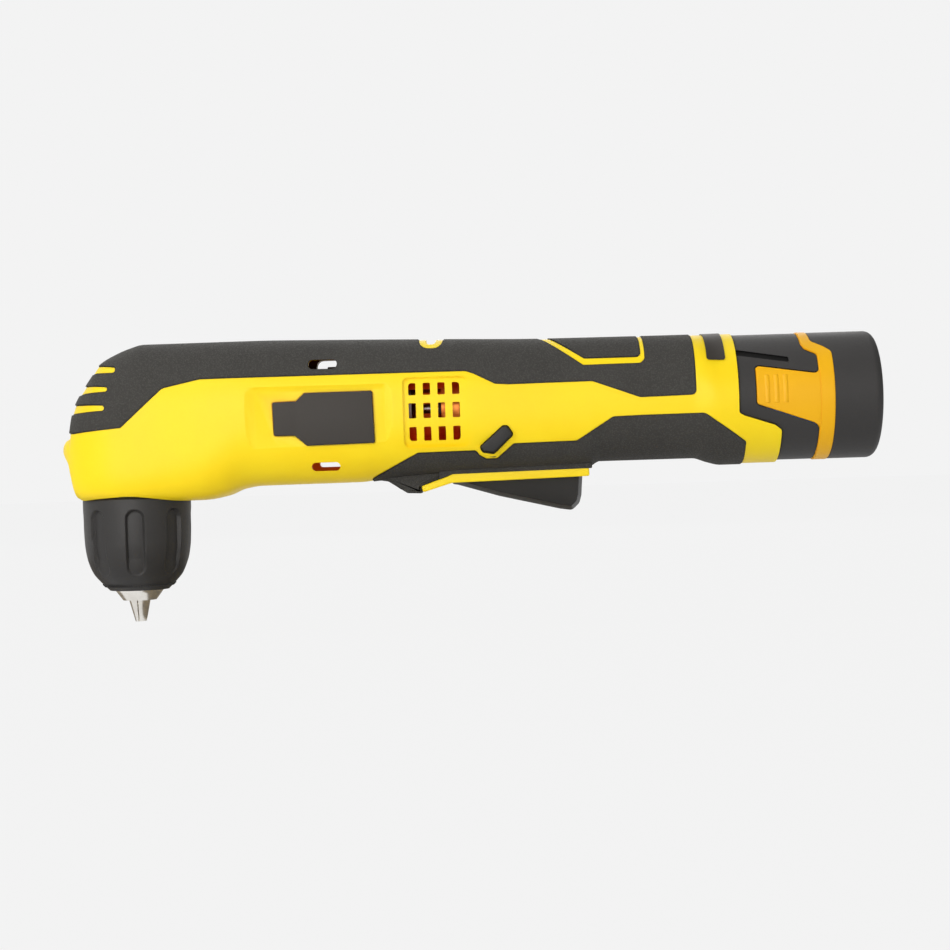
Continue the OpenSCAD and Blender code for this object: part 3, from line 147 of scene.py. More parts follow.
# outlines in the side view, as (x, height from the drive axis)
def roundCorners(points, radius, steps=5):
    pts = [np.array(p, float) for p in points]
    radii = radius if isinstance(radius, (list, tuple)) else [radius] * len(pts)
    out = []
    for i, p in enumerate(pts):
        a, b = pts[i - 1] - p, pts[(i + 1) % len(pts)] - p
        la, lb = np.linalg.norm(a), np.linalg.norm(b)
        a, b = a / la, b / lb
        angle = math.acos(max(-1, min(1, float(a @ b))))
        if radii[i] <= 0 or angle > 3.05:
            out.append(p)
            continue
        run = min(radii[i] / math.tan(angle / 2), 0.45 * la, 0.45 * lb)
        r = run * math.tan(angle / 2)
        centre = p + (a + b) / np.linalg.norm(a + b) * (r / math.sin(angle / 2))
        first, last = p + a * run - centre, p + b * run - centre
        for k in range(steps + 1):
            v = first * (1 - k / steps) + last * (k / steps)
            out.append(centre + v / np.linalg.norm(v) * r)
    return [tuple(p) for p in out]


def grow(points, d):
    pts = [np.array(p, float) for p in points]
    area = sum(p[0] * q[1] - q[0] * p[1] for p, q in zip(pts, pts[1:] + pts[:1]))
    d = d if area > 0 else -d
    out = []
    for i, p in enumerate(pts):
        e, f = p - pts[i - 1], pts[(i + 1) % len(pts)] - p
        e, f = e / np.linalg.norm(e), f / np.linalg.norm(f)
        n, m = np.array([e[1], -e[0]]), np.array([f[1], -f[0]])
        out.append(tuple(p + d * (n + m) / max(0.35, 1 + float(n @ m))))
    return out


def ringFaces(count, m, loop=False):
    # faces between rings of m points, with a lid at both ends or joined in a loop
    pairs = [(i * m, (i + 1) % count * m) for i in range(count if loop else count - 1)]
    walls = [(a + k, a + (k + 1) % m, b + (k + 1) % m, b + k) for a, b in pairs for k in range(m)]
    lids = [tuple(range(m)), tuple(range(count * m - 1, (count - 1) * m - 1, -1))]
    return walls if loop else lids + walls


def prism(points, y0=-60.0, y1=60.0, innerPoints=None):
    # innerPoints gives the end at y1 another outline, for walls with draft
    ends = ((y0, points), (y1, innerPoints or points))
    verts = [(x, y, axisZ + z) for y, outline in ends for x, z in outline]
    return solidFrom("prism", verts, ringFaces(2, len(points)))


def sidePrism(side, points, near=5.0, far=60.0, innerPoints=None):
    # near and far count outwards from the seam on one side of the tool
    return prism(points, side * far, side * near, innerPoints)


def loaf(points, layers):
    # outlines stacked across the tool, each layer a place across and an inset
    verts = [(x, y, axisZ + z) for y, inset in layers for x, z in grow(points, -inset)]
    return solidFrom("loaf", verts, ringFaces(len(layers), len(points)))


def roundEnds(y0, y1, r0, r1, steps=5):
    # layers from y0 to y1 with a quarter round at each end, or a plain end where the radius is 0
    turn = np.linspace(0, math.pi / 2, steps + 1)
    first = [(y0 + r0 * (1 - math.cos(t)), r0 * (1 - math.sin(t))) for t in turn] if r0 else [(y0, 0)]
    last = [(y1 - r1 * (1 - math.cos(t)), r1 * (1 - math.sin(t))) for t in turn[::-1]] if r1 else [(y1, 0)]
    return first + last


def outerRound(side, near, far, r):
    # layers between two places counted from the seam, the outer end rounded
    return roundEnds(-far, -near, r, 0) if side < 0 else roundEnds(near, far, 0, r)


def box(x0, z0, w, t):
    return [(x0, z0), (x0 + w, z0), (x0 + w, z0 + t), (x0, z0 + t)]


def block(x0, x1, y0, y1, z0, z1):
    return prism(box(x0, z0 - axisZ, x1 - x0, z1 - z0), y0, y1)


def around(steps):
    return np.linspace(0, 2 * math.pi, steps, endpoint=False)


def pill(x, z, length, height, steps=10):
    r, half = height / 2, (length - height) / 2
    turns = np.linspace(-math.pi / 2, math.pi / 2, steps)
    ring = [(x + half + r * math.cos(t), z + r * math.sin(t)) for t in turns]
    return ring + [(2 * x - px, 2 * z - pz) for px, pz in ring]


def revolve(profile, segments, place):
    # profile is (radius, distance) along the axis that place puts in the tool
    verts = [place(r * math.cos(t), r * math.sin(t), d) for r, d in profile for t in around(segments)]
    return solidFrom("turned", verts, ringFaces(len(profile), segments))


def upright(a, b, d):
    return a, b, d


def alongTool(y, z):
    return lambda a, b, d: (d, y + a, axisZ + z + b)


def rodAlong(y, z, r, x0, x1, segments=48):
    return revolve([(r, x0), (r, x1)], segments, alongTool(y, z))


def cylinderAcross(x, z, r, y0, y1, segments=40):
    return prism([(x + r * math.cos(t), z + r * math.sin(t)) for t in around(segments)], y0, y1)


# one smooth line through [x, value] points that never overshoots
def easeLine(points, x):
    xs = [p[0] for p in points]
    x = min(max(x, xs[0]), xs[-1])
    i = min(len(xs) - 2, max(0, int(np.searchsorted(xs, x, side="right")) - 1))

    def chord(k):
        return (points[k + 1][1] - points[k][1]) / (xs[k + 1] - xs[k])

    def slope(k):
        if k == 0:
            return chord(0)
        if k == len(xs) - 1:
            return chord(k - 1)
        a, b = chord(k - 1), chord(k)
        return 0 if a * b <= 0 else 2 * a * b / (a + b)

    h = xs[i + 1] - xs[i]
    t = (x - xs[i]) / h
    return (points[i][1] * (2 * t**3 - 3 * t**2 + 1) + points[i + 1][1] * (3 * t**2 - 2 * t**3)
            + h * slope(i) * (t**3 - 2 * t**2 + t) + h * slope(i + 1) * (t**3 - t**2))


# materials: sockets with arithmetic, and one method that makes any node
class Wire:
    def __init__(self, bench, socket):
        self.bench, self.socket = bench, socket

    def maths(self, how, a, b=0.0):
        return self.bench.node("ShaderNodeMath", {"operation": how}, {0: a, 1: b})

    def __add__(self, other):
        return self.maths("ADD", self, other)

    def __radd__(self, other):
        return self.maths("ADD", other, self)

    def __sub__(self, other):
        return self.maths("SUBTRACT", self, other)

    def __rsub__(self, other):
        return self.maths("SUBTRACT", other, self)

    def __mul__(self, other):
        return self.maths("MULTIPLY", self, other)

    def __rmul__(self, other):
        return self.maths("MULTIPLY", other, self)

    def __truediv__(self, other):
        return self.maths("DIVIDE", self, other)

    def __rtruediv__(self, other):
        return self.maths("DIVIDE", other, self)

    def clamped(self):
        return self.bench.node("ShaderNodeClamp", {}, {"Value": self})


class Board:
    def node(self, kind, settings=None, sockets=None, out=0):
        made = self.tree.nodes.new(kind)
        for key, value in (settings or {}).items():
            setattr(made, key, value)
        for key, value in (sockets or {}).items():
            if isinstance(value, Wire):
                self.tree.links.new(value.socket, made.inputs[key])
            else:
                made.inputs[key].default_value = value
        return Wire(self, made.outputs[out]) if len(made.outputs) else made


class Bench(Board):
    def __init__(self, name):
        self.material = bpy.data.materials.new(name)
        self.material.use_nodes = True
        self.tree = self.material.node_tree
        self.tree.nodes.clear()

    def place(self, stretch=(1, 1, 1)):
        spot = self.node("ShaderNodeTexCoord", out="Object")
        return self.node("ShaderNodeMapping", {}, {"Vector": spot, "Scale": stretch})

    def noise(self, spot, scale, detail, rough):
        return self.node("ShaderNodeTexNoise", {},
                         {"Vector": spot, "Scale": scale, "Detail": detail, "Roughness": rough})

    def cells(self, spot, scale):
        where = {"Vector": spot, "Scale": scale}
        return self.node("ShaderNodeTexVoronoi", {"feature": "F1"}, where, out="Distance")

    def ramp(self, value, low, high, start=0.0, end=1.0):
        return self.node("ShaderNodeMapRange", {"clamp": True},
                         {"Value": value, "From Min": start, "From Max": end, "To Min": low, "To Max": high})

    def blend(self, share, first, second):
        return self.node("ShaderNodeMix", {"data_type": "RGBA"}, {0: share, 6: first, 7: second}, out=2)

    def bump(self, height, strength, depth):
        return self.node("ShaderNodeBump", {}, {"Height": height, "Strength": strength, "Distance": depth})

    def surface(self, **sockets):
        named = {key.replace("_", " "): value for key, value in sockets.items()}
        return self.close(self.node("ShaderNodeBsdfPrincipled", {}, named))

    def close(self, shader):
        self.node("ShaderNodeOutputMaterial", {}, {"Surface": shader})
        return self.material


class Sky(Board):
    def __init__(self, name):
        scene.world = bpy.data.worlds.new(name)
        scene.world.use_nodes = True
        self.tree = scene.world.node_tree
        self.tree.nodes.clear()


class Pattern(Board):
    # a Geometry Nodes tree whose sizes are named inputs
    def __init__(self, name, **inputs):
        self.tree = bpy.data.node_groups.new(name, "GeometryNodeTree")
        face = self.tree.interface
        face.new_socket("Piece", in_out="INPUT", socket_type="NodeSocketGeometry")
        for label, kind in {**inputs, "Finish": "Material"}.items():
            face.new_socket(label, in_out="INPUT", socket_type="NodeSocket" + kind)
        face.new_socket("Result", in_out="OUTPUT", socket_type="NodeSocketGeometry")
        self.entry = self.tree.nodes.new("NodeGroupInput")

    def read(self, label):
        return Wire(self, self.entry.outputs[label])

    def close(self, points, piece, turn):
        many = self.node("GeometryNodeInstanceOnPoints", {},
                         {"Points": points, "Instance": piece, "Rotation": turn})
        real = self.node("GeometryNodeRealizeInstances", {}, {"Geometry": many})
        done = self.node("GeometryNodeSetMaterial", {}, {"Geometry": real, "Material": self.read("Finish")})
        self.node("NodeGroupOutput", {}, {"Result": done})

    def lay(self, obj, **values):
        step = obj.modifiers.new("pattern", "NODES")
        step.node_group = self.tree
        for item in self.tree.interface.items_tree:
            if item.in_out == "INPUT" and item.name in values:
                step[item.identifier] = values[item.name]
        return bake(obj)


def ringPattern():
    # copies of the piece turned round an upright axis
    p = Pattern("ringOf", Count="Int", Radius="Float", Height="Float")
    turn = p.node("GeometryNodeInputIndex") / p.read("Count") * (2 * math.pi)
    x, y = (turn.maths(how, turn) * p.read("Radius") for how in ("COSINE", "SINE"))
    spot = p.node("ShaderNodeCombineXYZ", {}, {"X": x, "Y": y, "Z": p.read("Height")})
    points = p.node("GeometryNodePoints", {}, {"Count": p.read("Count"), "Position": spot})
    p.close(points, p.read("Piece"), p.node("ShaderNodeCombineXYZ", {}, {"Z": turn}))
    return p


def rowPattern():
    # copies of the piece side by side along the tool
    p = Pattern("rowOf", Count="Int", Pitch="Float")
    spot = p.node("ShaderNodeCombineXYZ", {}, {"X": p.node("GeometryNodeInputIndex") * p.read("Pitch")})
    points = p.node("GeometryNodePoints", {}, {"Count": p.read("Count"), "Position": spot})
    p.close(points, p.read("Piece"), (0, 0, 0))
    return p


def screwPattern():
    # one screw at each point of a cloud, turned a little from one to the next
    p = Pattern("screwsAt", Screw="Object", Turn="Float", AboutX="Int")
    points = p.node("GeometryNodeMeshToPoints", {}, {"Mesh": p.read("Piece")})
    screw = p.node("GeometryNodeObjectInfo", {}, {"Object": p.read("Screw")}, out="Geometry")
    angle = p.node("GeometryNodeInputIndex") * p.read("Turn")
    along = p.read("AboutX") * angle
    p.close(points, screw, p.node("ShaderNodeCombineXYZ", {}, {"X": along, "Y": angle - along}))
    return p


def rgb(r, g, b):
    # a colour as it looks on screen, turned to scene light
    shares = (r / 255, g / 255, b / 255)
    return (*(c / 12.92 if c <= 0.04045 else ((c + 0.055) / 1.055) ** 2.4 for c in shares), 1.0)


unlit = (0.004, 0.003, 0.002, 1)  # walls that no light reaches


def mouldedPlastic(name, light, dark, rough, grainScale, grainDepth, coat=0.0, deep=None):
    # satin moulding: cloudy colour, fine spark grain, roughness that wanders
    # deep is the tone of a painted glow on the inner walls, colour and emission standing in for light that
    # bounces inside and comes through the thin plastic; walls marked -1 get painted black shade
    b = Bench(name)
    spot = b.place()
    cloud = b.noise(spot, 38, 3, 0.55)
    grain = b.noise(spot, grainScale, 2, 0.6)
    fleck = b.cells(spot, grainScale * 0.8)
    tone = b.ramp(cloud * 0.8 + grain * 0.2, 0.0, 1.0, 0.3, 0.7)
    colour, glow = b.blend(tone, dark, light), {}
    if deep:
        inside = b.node("ShaderNodeAttribute", {"attribute_name": "inside"}, out="Fac")
        paintedLightMask = inside.clamped()
        colour = b.blend((inside * -1).clamped(), b.blend(paintedLightMask, colour, deep), unlit)
        glow = {"Emission_Color": b.blend(paintedLightMask, (0, 0, 0, 1), deep), "Emission_Strength": 0.16}
    satin = b.ramp(cloud + fleck * 0.4, rough - 0.05, rough + 0.07, 0.35, 0.95)
    relief = b.bump(grain * 0.6 + fleck * 0.4, 0.5, grainDepth)
    return b.surface(Base_Color=colour, Roughness=satin, Normal=relief, Coat_Weight=coat, Coat_Roughness=0.25,
                     Specular_IOR_Level=0.3, **glow)


def softRubber(name, light, dark, grainScale):
    # overmoulded grip: leathery pebble grain with pale tops
    b = Bench(name)
    spot = b.place()
    pebble = b.cells(spot, grainScale)
    crease = b.noise(spot, grainScale * 1.7, 3, 0.65)
    cloud = b.noise(spot, 45, 2, 0.5)
    height = (1 - pebble) * 0.6 + crease * 0.55
    tops = b.ramp(height, 0.0, 1.0, 0.55, 0.95)
    tone = (tops * 0.65 + cloud * 0.35).clamped()
    return b.surface(Base_Color=b.blend(tone, dark, light), Roughness=b.ramp(tops, 0.78, 0.58),
                     Normal=b.bump(height, 0.9, 0.00022), Specular_IOR_Level=0.25)


def turnedSteel(name, light, dark, rough, ringScale, acrossTool=False):
    # lathe marks round the axis, with faint smears
    b = Bench(name)
    spot = b.place((ringScale, 6, 6) if acrossTool else (6, 6, ringScale))
    lathe = b.noise(spot, 1.0, 4, 0.6)
    smear = b.noise(b.place(), 160, 3, 0.5)
    return b.surface(Base_Color=b.blend(b.ramp(smear, 0, 1, 0.35, 0.65), dark, light), Metallic=1.0,
                     Roughness=b.ramp(lathe * 0.6 + smear * 0.4, rough - 0.06, rough + 0.1, 0.3, 0.7),
                     Normal=b.bump(lathe, 0.25, 0.00004))


def castMetal(name, light, dark, rough):
    # a grainy skin with faint clouds
    b = Bench(name)
    spot = b.place()
    skin = b.noise(spot, 900, 4, 0.6)
    cloud = b.noise(spot, 60, 3, 0.5)
    return b.surface(Base_Color=b.blend(b.ramp(cloud, 0, 1, 0.3, 0.7), dark, light), Metallic=0.9,
                     Roughness=b.ramp(skin, rough - 0.08, rough + 0.12, 0.3, 0.7),
                     Normal=b.bump(skin, 0.5, 0.00008))


def woundCopper(name):
    # turns of wire side by side, warm brown lacquer
    b = Bench(name)
    spot = b.node("ShaderNodeTexCoord", out="Object")
    turns = b.node("ShaderNodeTexWave", {"wave_type": "BANDS", "bands_direction": "Y"},
                   {"Vector": spot, "Scale": 420, "Distortion": 1.5, "Detail": 2})
    cloud = b.noise(spot, 220, 3, 0.5)
    tone = b.ramp(turns * 0.6 + cloud * 0.4, 0, 1, 0.25, 0.8)
    return b.surface(Base_Color=b.blend(tone, rgb(96, 38, 18), rgb(205, 110, 58)), Metallic=0.85,
                     Roughness=b.ramp(turns, 0.5, 0.3), Normal=b.bump(turns, 0.6, 0.0001))


def clearLens(name):
    # clear plastic with a breath of haze
    b = Bench(name)
    haze = b.noise(b.place(), 300, 2, 0.5)
    return b.surface(Base_Color=(0.92, 0.96, 1, 1), Roughness=b.ramp(haze, 0.04, 0.12),
                     Transmission_Weight=0.9, IOR=1.49)


finish = {
    # deep is a painted orange glow on the shell's inner walls
    "shell": mouldedPlastic("shellYellow", rgb(255, 226, 26), rgb(253, 218, 16), 0.42, 1500, 0.00003,
                            deep=rgb(226, 92, 20)),
    "grip": softRubber("gripRubber", rgb(80, 79, 76), rgb(53, 52, 50), 1700),
    "plate": mouldedPlastic("plateBlack", rgb(52, 47, 43), rgb(44, 40, 36), 0.5, 2400, 0.00002),
    "packBlack": mouldedPlastic("packBlack", rgb(54, 53, 53), rgb(47, 46, 46), 0.5, 1700, 0.00006),
    "trigger": mouldedPlastic("triggerBlack", rgb(42, 41, 40), rgb(37, 36, 35), 0.36, 1900, 0.00003),
    # near-black painted shade for the floor of the pack's long slit
    "seam": mouldedPlastic("seamBlack", rgb(8, 8, 8), rgb(5, 5, 5), 0.9, 1500, 0.00003),
    "controlBlack": mouldedPlastic("controlBlack", rgb(27, 26, 25), rgb(22, 21, 20), 0.42, 1800, 0.00004),
    "sleeveBlack": mouldedPlastic("sleeveBlack", rgb(54, 53, 53), rgb(46, 45, 45), 0.44, 1600, 0.00004),
    "amber": mouldedPlastic("latchAmber", rgb(245, 185, 12), rgb(240, 177, 8), 0.42, 1500, 0.00003),
    "chuckSteel": turnedSteel("chuckSteel", (0.93, 0.91, 0.87, 1), (0.82, 0.79, 0.74, 1), 0.2, 2600),
    "jawSteel": turnedSteel("jawSteel", (0.92, 0.9, 0.86, 1), (0.8, 0.77, 0.72, 1), 0.2, 500),
    "gearSteel": turnedSteel("gearSteel", (0.6, 0.6, 0.61, 1), (0.45, 0.45, 0.46, 1), 0.3, 900),
    "screwSteel": turnedSteel("screwSteel", (0.55, 0.56, 0.57, 1), (0.38, 0.39, 0.4, 1), 0.32, 900),
    "bearingSteel": turnedSteel("bearingSteel", (0.72, 0.72, 0.73, 1), (0.58, 0.58, 0.59, 1), 0.2, 2000),
    "canSteel": turnedSteel("canBronze", (0.95, 0.42, 0.1, 1), (0.45, 0.13, 0.03, 1), 0.34, 900, True),
    "cast": castMetal("castAlloy", (0.58, 0.59, 0.61, 1), (0.46, 0.47, 0.49, 1), 0.5),
    "iron": castMetal("coreIron", (0.4, 0.4, 0.41, 1), (0.28, 0.28, 0.29, 1), 0.48),
    "magnet": castMetal("magnetGrey", (0.14, 0.14, 0.15, 1), (0.1, 0.1, 0.11, 1), 0.6),
    "copper": woundCopper("woundCopper"),
    "contact": turnedSteel("contactCopper", (0.85, 0.5, 0.3, 1), (0.7, 0.38, 0.22, 1), 0.25, 700),
    "tin": turnedSteel("tinnedClip", (0.78, 0.74, 0.64, 1), (0.62, 0.58, 0.5, 1), 0.28, 700),
    "brushHolder": mouldedPlastic("brushHolder", rgb(176, 74, 26), rgb(128, 46, 14), 0.4, 1100, 0.00005),
    "carbon": mouldedPlastic("pressedCarbon", rgb(50, 50, 50), rgb(38, 38, 38), 0.6, 1200, 0.00006),
    "fan": mouldedPlastic("fanNylon", rgb(30, 29, 28), rgb(22, 21, 20), 0.5, 1300, 0.00005),
    "plunger": mouldedPlastic("plungerRed", rgb(170, 40, 32), rgb(150, 32, 26), 0.4, 1300, 0.00004),
    "wrap": mouldedPlastic("cellWrap", rgb(58, 118, 190), rgb(48, 102, 170), 0.35, 900, 0.00002, 0.3),
    "lightBody": mouldedPlastic("lightEpoxy", rgb(240, 238, 214), rgb(228, 226, 200), 0.25, 700, 0.00002,
                                0.4),
    "lens": clearLens("lightLens"),
}
print("materials ready:", len(finish))

# the finish of each CAD piece, also of those that are drawn again below
finishOf = {
    "chuckSteel": ["chuck_body", "chuck_nut"], "jawSteel": ["jaw_1", "jaw_2", "jaw_3"],
    "gearSteel": ["ring_gear", "planet_gear_1", "planet_gear_2", "planet_gear_3", "planet_carrier",
                  "bevel_pinion", "bevel_wheel", "spindle", "motor_shaft", "motor_pinion"],
    "screwSteel": ["battery_screws", "chuck_screw", "trigger_pin", "housing_screws"],
    "bearingSteel": ["spindle_bearing_lower", "spindle_bearing_upper",
                     "shaft_bearing_front", "shaft_bearing_rear"],
    "canSteel": ["motor_can"], "cast": ["gear_case", "gear_cover"], "iron": ["armature_core"],
    "magnet": ["motor_magnets"], "copper": ["armature_windings"], "tin": ["terminal_clips"],
    "contact": ["commutator", "battery_contacts"], "carbon": ["motor_brushes"], "fan": ["motor_fan"],
    "plunger": ["switch_plunger"], "wrap": ["battery_cells"], "lightBody": ["work_light"],
    "lens": ["work_light_lens"], "brushHolder": ["motor_end_cap"],
    "controlBlack": ["switch_body", "terminal_block", "direction_selector", "trigger"],
    "packBlack": ["battery_case", "battery_end_cap"], "plate": ["badge_plate", "label_plate"],
    "amber": ["battery_band", "latch_left", "latch_right"], "sleeveBlack": ["chuck_sleeve"],
    "shell": ["housing_left", "housing_right"], "grip": ["soft_grip_left", "soft_grip_right"],
}
for key, names in finishOf.items():
    for name in names:
        nodes[name].data.materials.clear()
        nodes[name].data.materials.append(finish[key])

# the moulded body
body = {
    "headFront": 24.0, "noseR": 22.0, "stage": 43.0, "motor": 64.5, "trigger": 107.0, "guard": 153.4,
    "rear": 202.4, "tongue": 14.2, "tail": 0.4, "up": 24.3, "down": 24.4, "wall": 2.6,
    "softDepth": 1.1, "softProud": 0.35, "softGap": 0.05, "seam": 0.05, "least": 0.3,
    "ringStep": 1.0, "roundSteps": 64, "innerSteps": 40,
    "floor": 43.0, "covered": 11.2, "darkEnd": 84.0, "notchDeep": 6.0, "skinShare": (0.955, 0.045),
}
front, noseC = body["headFront"], body["noseR"] - body["headFront"]
up, down, guard, rear, tongue = (body[key] for key in ("up", "down", "guard", "rear", "tongue"))
motor, stage, trig = body["motor"], body["stage"], body["trigger"]
# top and underside, those of the nose counted from its tip
noseTop = [(0, -10.9), (0.4, -9), (1.4, -7.2), (3.4, -5.9), (4.1, -4.6), (4.7, 0.5), (5.3, 4.2), (6.4, 6.8),
           (9, 10.8), (11.7, 14.8), (14, 18.2), (19, 21.2), (24, up - 1.1), (28.5, up)]
noseUnder = [(0, -11.3), (0.9, -12.9), (3.2, -16.4), (4.2, -21.2), (5.0, -25), (5.9, -26.8), (9, -28)]
topLine = [(x - front, z) for x, z in noseTop] + [
    (stage, up), (motor, up - 0.4), (trig, up - 1.4), (guard - 15, up - 2.2), (rear - 14, up - 2.4),
    (rear, up - 2.2), (rear + tongue, up - 2.2)]
underLine = [(x - front, z) for x, z in noseUnder] + [
    (23, -28.6), (31, -27.4), (37, -25.2), (stage, -down), (motor + 12, 0.2 - down), (motor + 18, 0.8 - down),
    (trig, 2.2 - down), (guard - 3, 3 - down), (guard, 3.2 - down), (guard + 4, 5.1 - down),
    (rear - 13.4, 5.1 - down), (rear - 8.6, 3.6 - down), (rear - 4.2, 2.6 - down),
    (rear + tongue, 2.6 - down)]
widthLine = [(noseC, 22), (12, 22.2), (stage, 23), (motor + 20, 23), (trig, 22.4), (guard - 15, 21.3),
             (guard + 4, 21), (rear - 15.4, 21), (rear - 7, 22), (rear + tongue, 22)]
# how square the section is above and below
topPower = [(-front, 2.2), (0, 2.3), (stage, 2.7), (guard, 2.6), (rear - 15, 2.6), (rear - 6, 2.05),
            (rear + tongue, 2.05)]
underPower = [(-front, 2.6), (5.7 - front, 5), (0, 7), (12, 5.6), (stage, 2.8), (guard, 2.6),
              (rear - 15, 2.6), (rear - 6, 2.05), (rear + tongue, 2.05)]
tail = rear + tongue + body["tail"]
ringPlaces = sorted({round(noseC - body["noseR"] * math.cos(math.radians(a)), 3) for a in range(0, 91, 2)}
                    | {round(float(x), 3) for x in np.arange(noseC, tail, body["ringStep"])}
                    | {round(x, 3) for x, z in topLine + underLine if x > -front} | {round(tail, 3)})


def skinAt(x):
    # half width, top and underside of the plain skin
    nose = math.sqrt(max(0, body["noseR"]**2 - (x - noseC)**2))
    return nose if x < noseC else easeLine(widthLine, x), easeLine(topLine, x), easeLine(underLine, x)


def halfSkin(side, d, seam, places=ringPlaces, steps=body["roundSteps"]):
    # d is the offset outwards, or a rule that gives it for each place
    # seam is where the half ends, below 0 for a tool that has to cut past the middle
    verts, rule, least = [], d, body["least"]
    for x in places:
        d = rule(x) if callable(rule) else rule
        noseShare = min(1, max(0, (noseC - x) / body["noseR"]))
        flank = math.sqrt(1 - noseShare**2)
        wide, top, under = skinAt(x)
        wide, top, under = max(least, wide + d * flank), top + d * flank, under - d * flank
        nTop, nUnder = easeLine(topPower, x), easeLine(underPower, x)
        for k in range(steps + 1):
            a = math.pi * k / steps - math.pi / 2
            n = nTop if a > 0 else nUnder
            y = seam if k in (0, steps) else max(seam, wide * abs(math.cos(a)) ** (2 / n))
            rise = max(least, (top - under) / 2) * math.copysign(abs(math.sin(a)) ** (2 / n), math.sin(a))
            verts.append((x - d * noseShare, side * y, axisZ + (top + under) / 2 + rise))
    return solidFrom("skin", verts, ringFaces(len(places), steps + 1))


def paintedLightShare(x, y, z):
    # 1 on the bare walls that face the inside, which get a painted glow; -1 on those under the front grip,
    # painted black as shade
    # 0 on the outer skin, the tongue, the screw wells, the top notch and the chuck recess
    aside = min(math.hypot(x - sx, z - axisZ - sz) for sx, sz in opening["screws"])
    inWell = y > 0 and aside < opening["bossR"] + 0.2
    inNotch = abs(x - opening["notchX"]) < opening["notch"][0] and z > axisZ + up - body["notchDeep"]
    if z < body["floor"] or x > rear or inWell or inNotch:
        return 0
    x = max(x, 0.05 - front)  # the skin has no width at the very tip
    wide, top, under = skinAt(x)
    rise = (z - axisZ - (top + under) / 2) / ((top - under) / 2)
    n = easeLine(topPower if rise > 0 else underPower, x)
    reach = (abs(y / wide) ** n + abs(rise) ** n) ** (1 / n)
    skin, fade = body["skinShare"]
    share = min(1, max(0, (skin - reach) / fade))
    return -share if z > axisZ + body["covered"] and x < body["darkEnd"] else share


# soft grip pattern in the side view
pattern = {
    "upper": [(-40, -5.3), (-17.4, -5.3), (-0.8, -4), (13.1, 8.6), (25.4, 11.2), (112.8, 11.2), (115.4, 10.3),
              (122.4, 6.7), (127.1, 6.4), (154.5, 6.6), (170.1, 0.8), (188.6, 1.1), (188.6, 40), (-40, 40)],
    "upperRound": [0, 3, 1.5, 3, 6, 3, 3, 2, 6, 3, 3, 1.6, 0, 0],
    "lower": [(80.3, -40), (80.3, -23.2), (96.4, -15), (115.7, -14.8), (116.7, -16.3), (119, -17.6),
              (122.5, -17.6), (128, -12.9), (148.9, -12.6), (161, -5.1), (169.9, -4.9), (191.2, -4.8),
              (205.2, -14.7), (205.1, -16.2), (206.1, -40)],
    "lowerRound": [0, 2, 2, 1.5, 1, 1, 2, 1.5, 2, 2, 3, 3, 1.8, 1.5, 0],
    "islandOuter": [(127.4, 30), (151.8, 12.2), (170.6, 12.3), (172, 13.6), (172.1, 17), (171.8, 40),
                    (127.4, 40)],
    "islandInner": [(129.1, 30), (152.2, 14.2), (169.8, 14.2), (170.9, 15.3), (170.8, 40), (129.1, 40)],
    "islandRound": (1.2, 1.0),
    "fingers": [(-3.1, 15.5, 0.9, 17.2, 2.0), (-5.3, 9, 0.7, 9.6, 1.9), (-6.2, 2.8, 0.8, 2.9, 1.8)],
    "fingerFront": -28.0, "groove": 0.12, "crownInset": 0.45, "lipProud": 0.08,
    "ribProud": 0.25, "ribSpan": (-7.0, 8.0),  # where the ribs start to rise, and over what length
}


def fingerOutline(x, z, r, frontZ, frontR):
    # a bare gap between two ribs, with a round rear end
    tip = pattern["fingerFront"]
    ends = [(x - r + r * math.cos(a), z + r * math.sin(a)) for a in np.linspace(-1.5, 1.5, 9)]
    return ends + [(tip, frontZ + frontR), (tip, frontZ - frontR)]


def softPattern(inset):
    upper = prism(grow(roundCorners(pattern["upper"], pattern["upperRound"]), -inset))
    for finger in pattern["fingers"]:
        cut(upper, prism(grow(fingerOutline(*finger), inset)))
    # a bare line round the raised island at the rear
    outerR, innerR = pattern["islandRound"]
    line = prism(grow(roundCorners(pattern["islandOuter"], outerR), inset))
    cut(line, prism(grow(roundCorners(pattern["islandInner"], innerR), -inset), -61, 61))
    cut(upper, line)
    wide, deep = opening["notchRim"]
    cut(upper, topNotch(wide + 2 * inset, deep + inset))
    join(upper, prism(grow(roundCorners(pattern["lower"], pattern["lowerRound"]), -inset)))
    return upper


# bare plates of the near side
plates = {
    "badge": [(49.2, 2.8), (57.1, 3), (59.8, 5.6), (82.1, 5.7), (82.5, -11.4), (60.2, -11.7), (56.4, -8.3),
              (49.5, -8.2)],
    "badgeRound": 0.6, "badgeSeat": 21.8, "badgeThick": 1.0, "badgeEdge": 0.3,
    "grooveWide": 0.28, "grooveDeep": 0.4, "grooveTop": 22.4,
    "label": [(192.7, 40), (192.5, 12.6), (198.7, 12.4), (198.6, 40)], "labelRound": [0, 0.9, 0.9, 0],
    "labelProud": 0.4, "labelSunk": 0.1, "collar": 16.0,
}

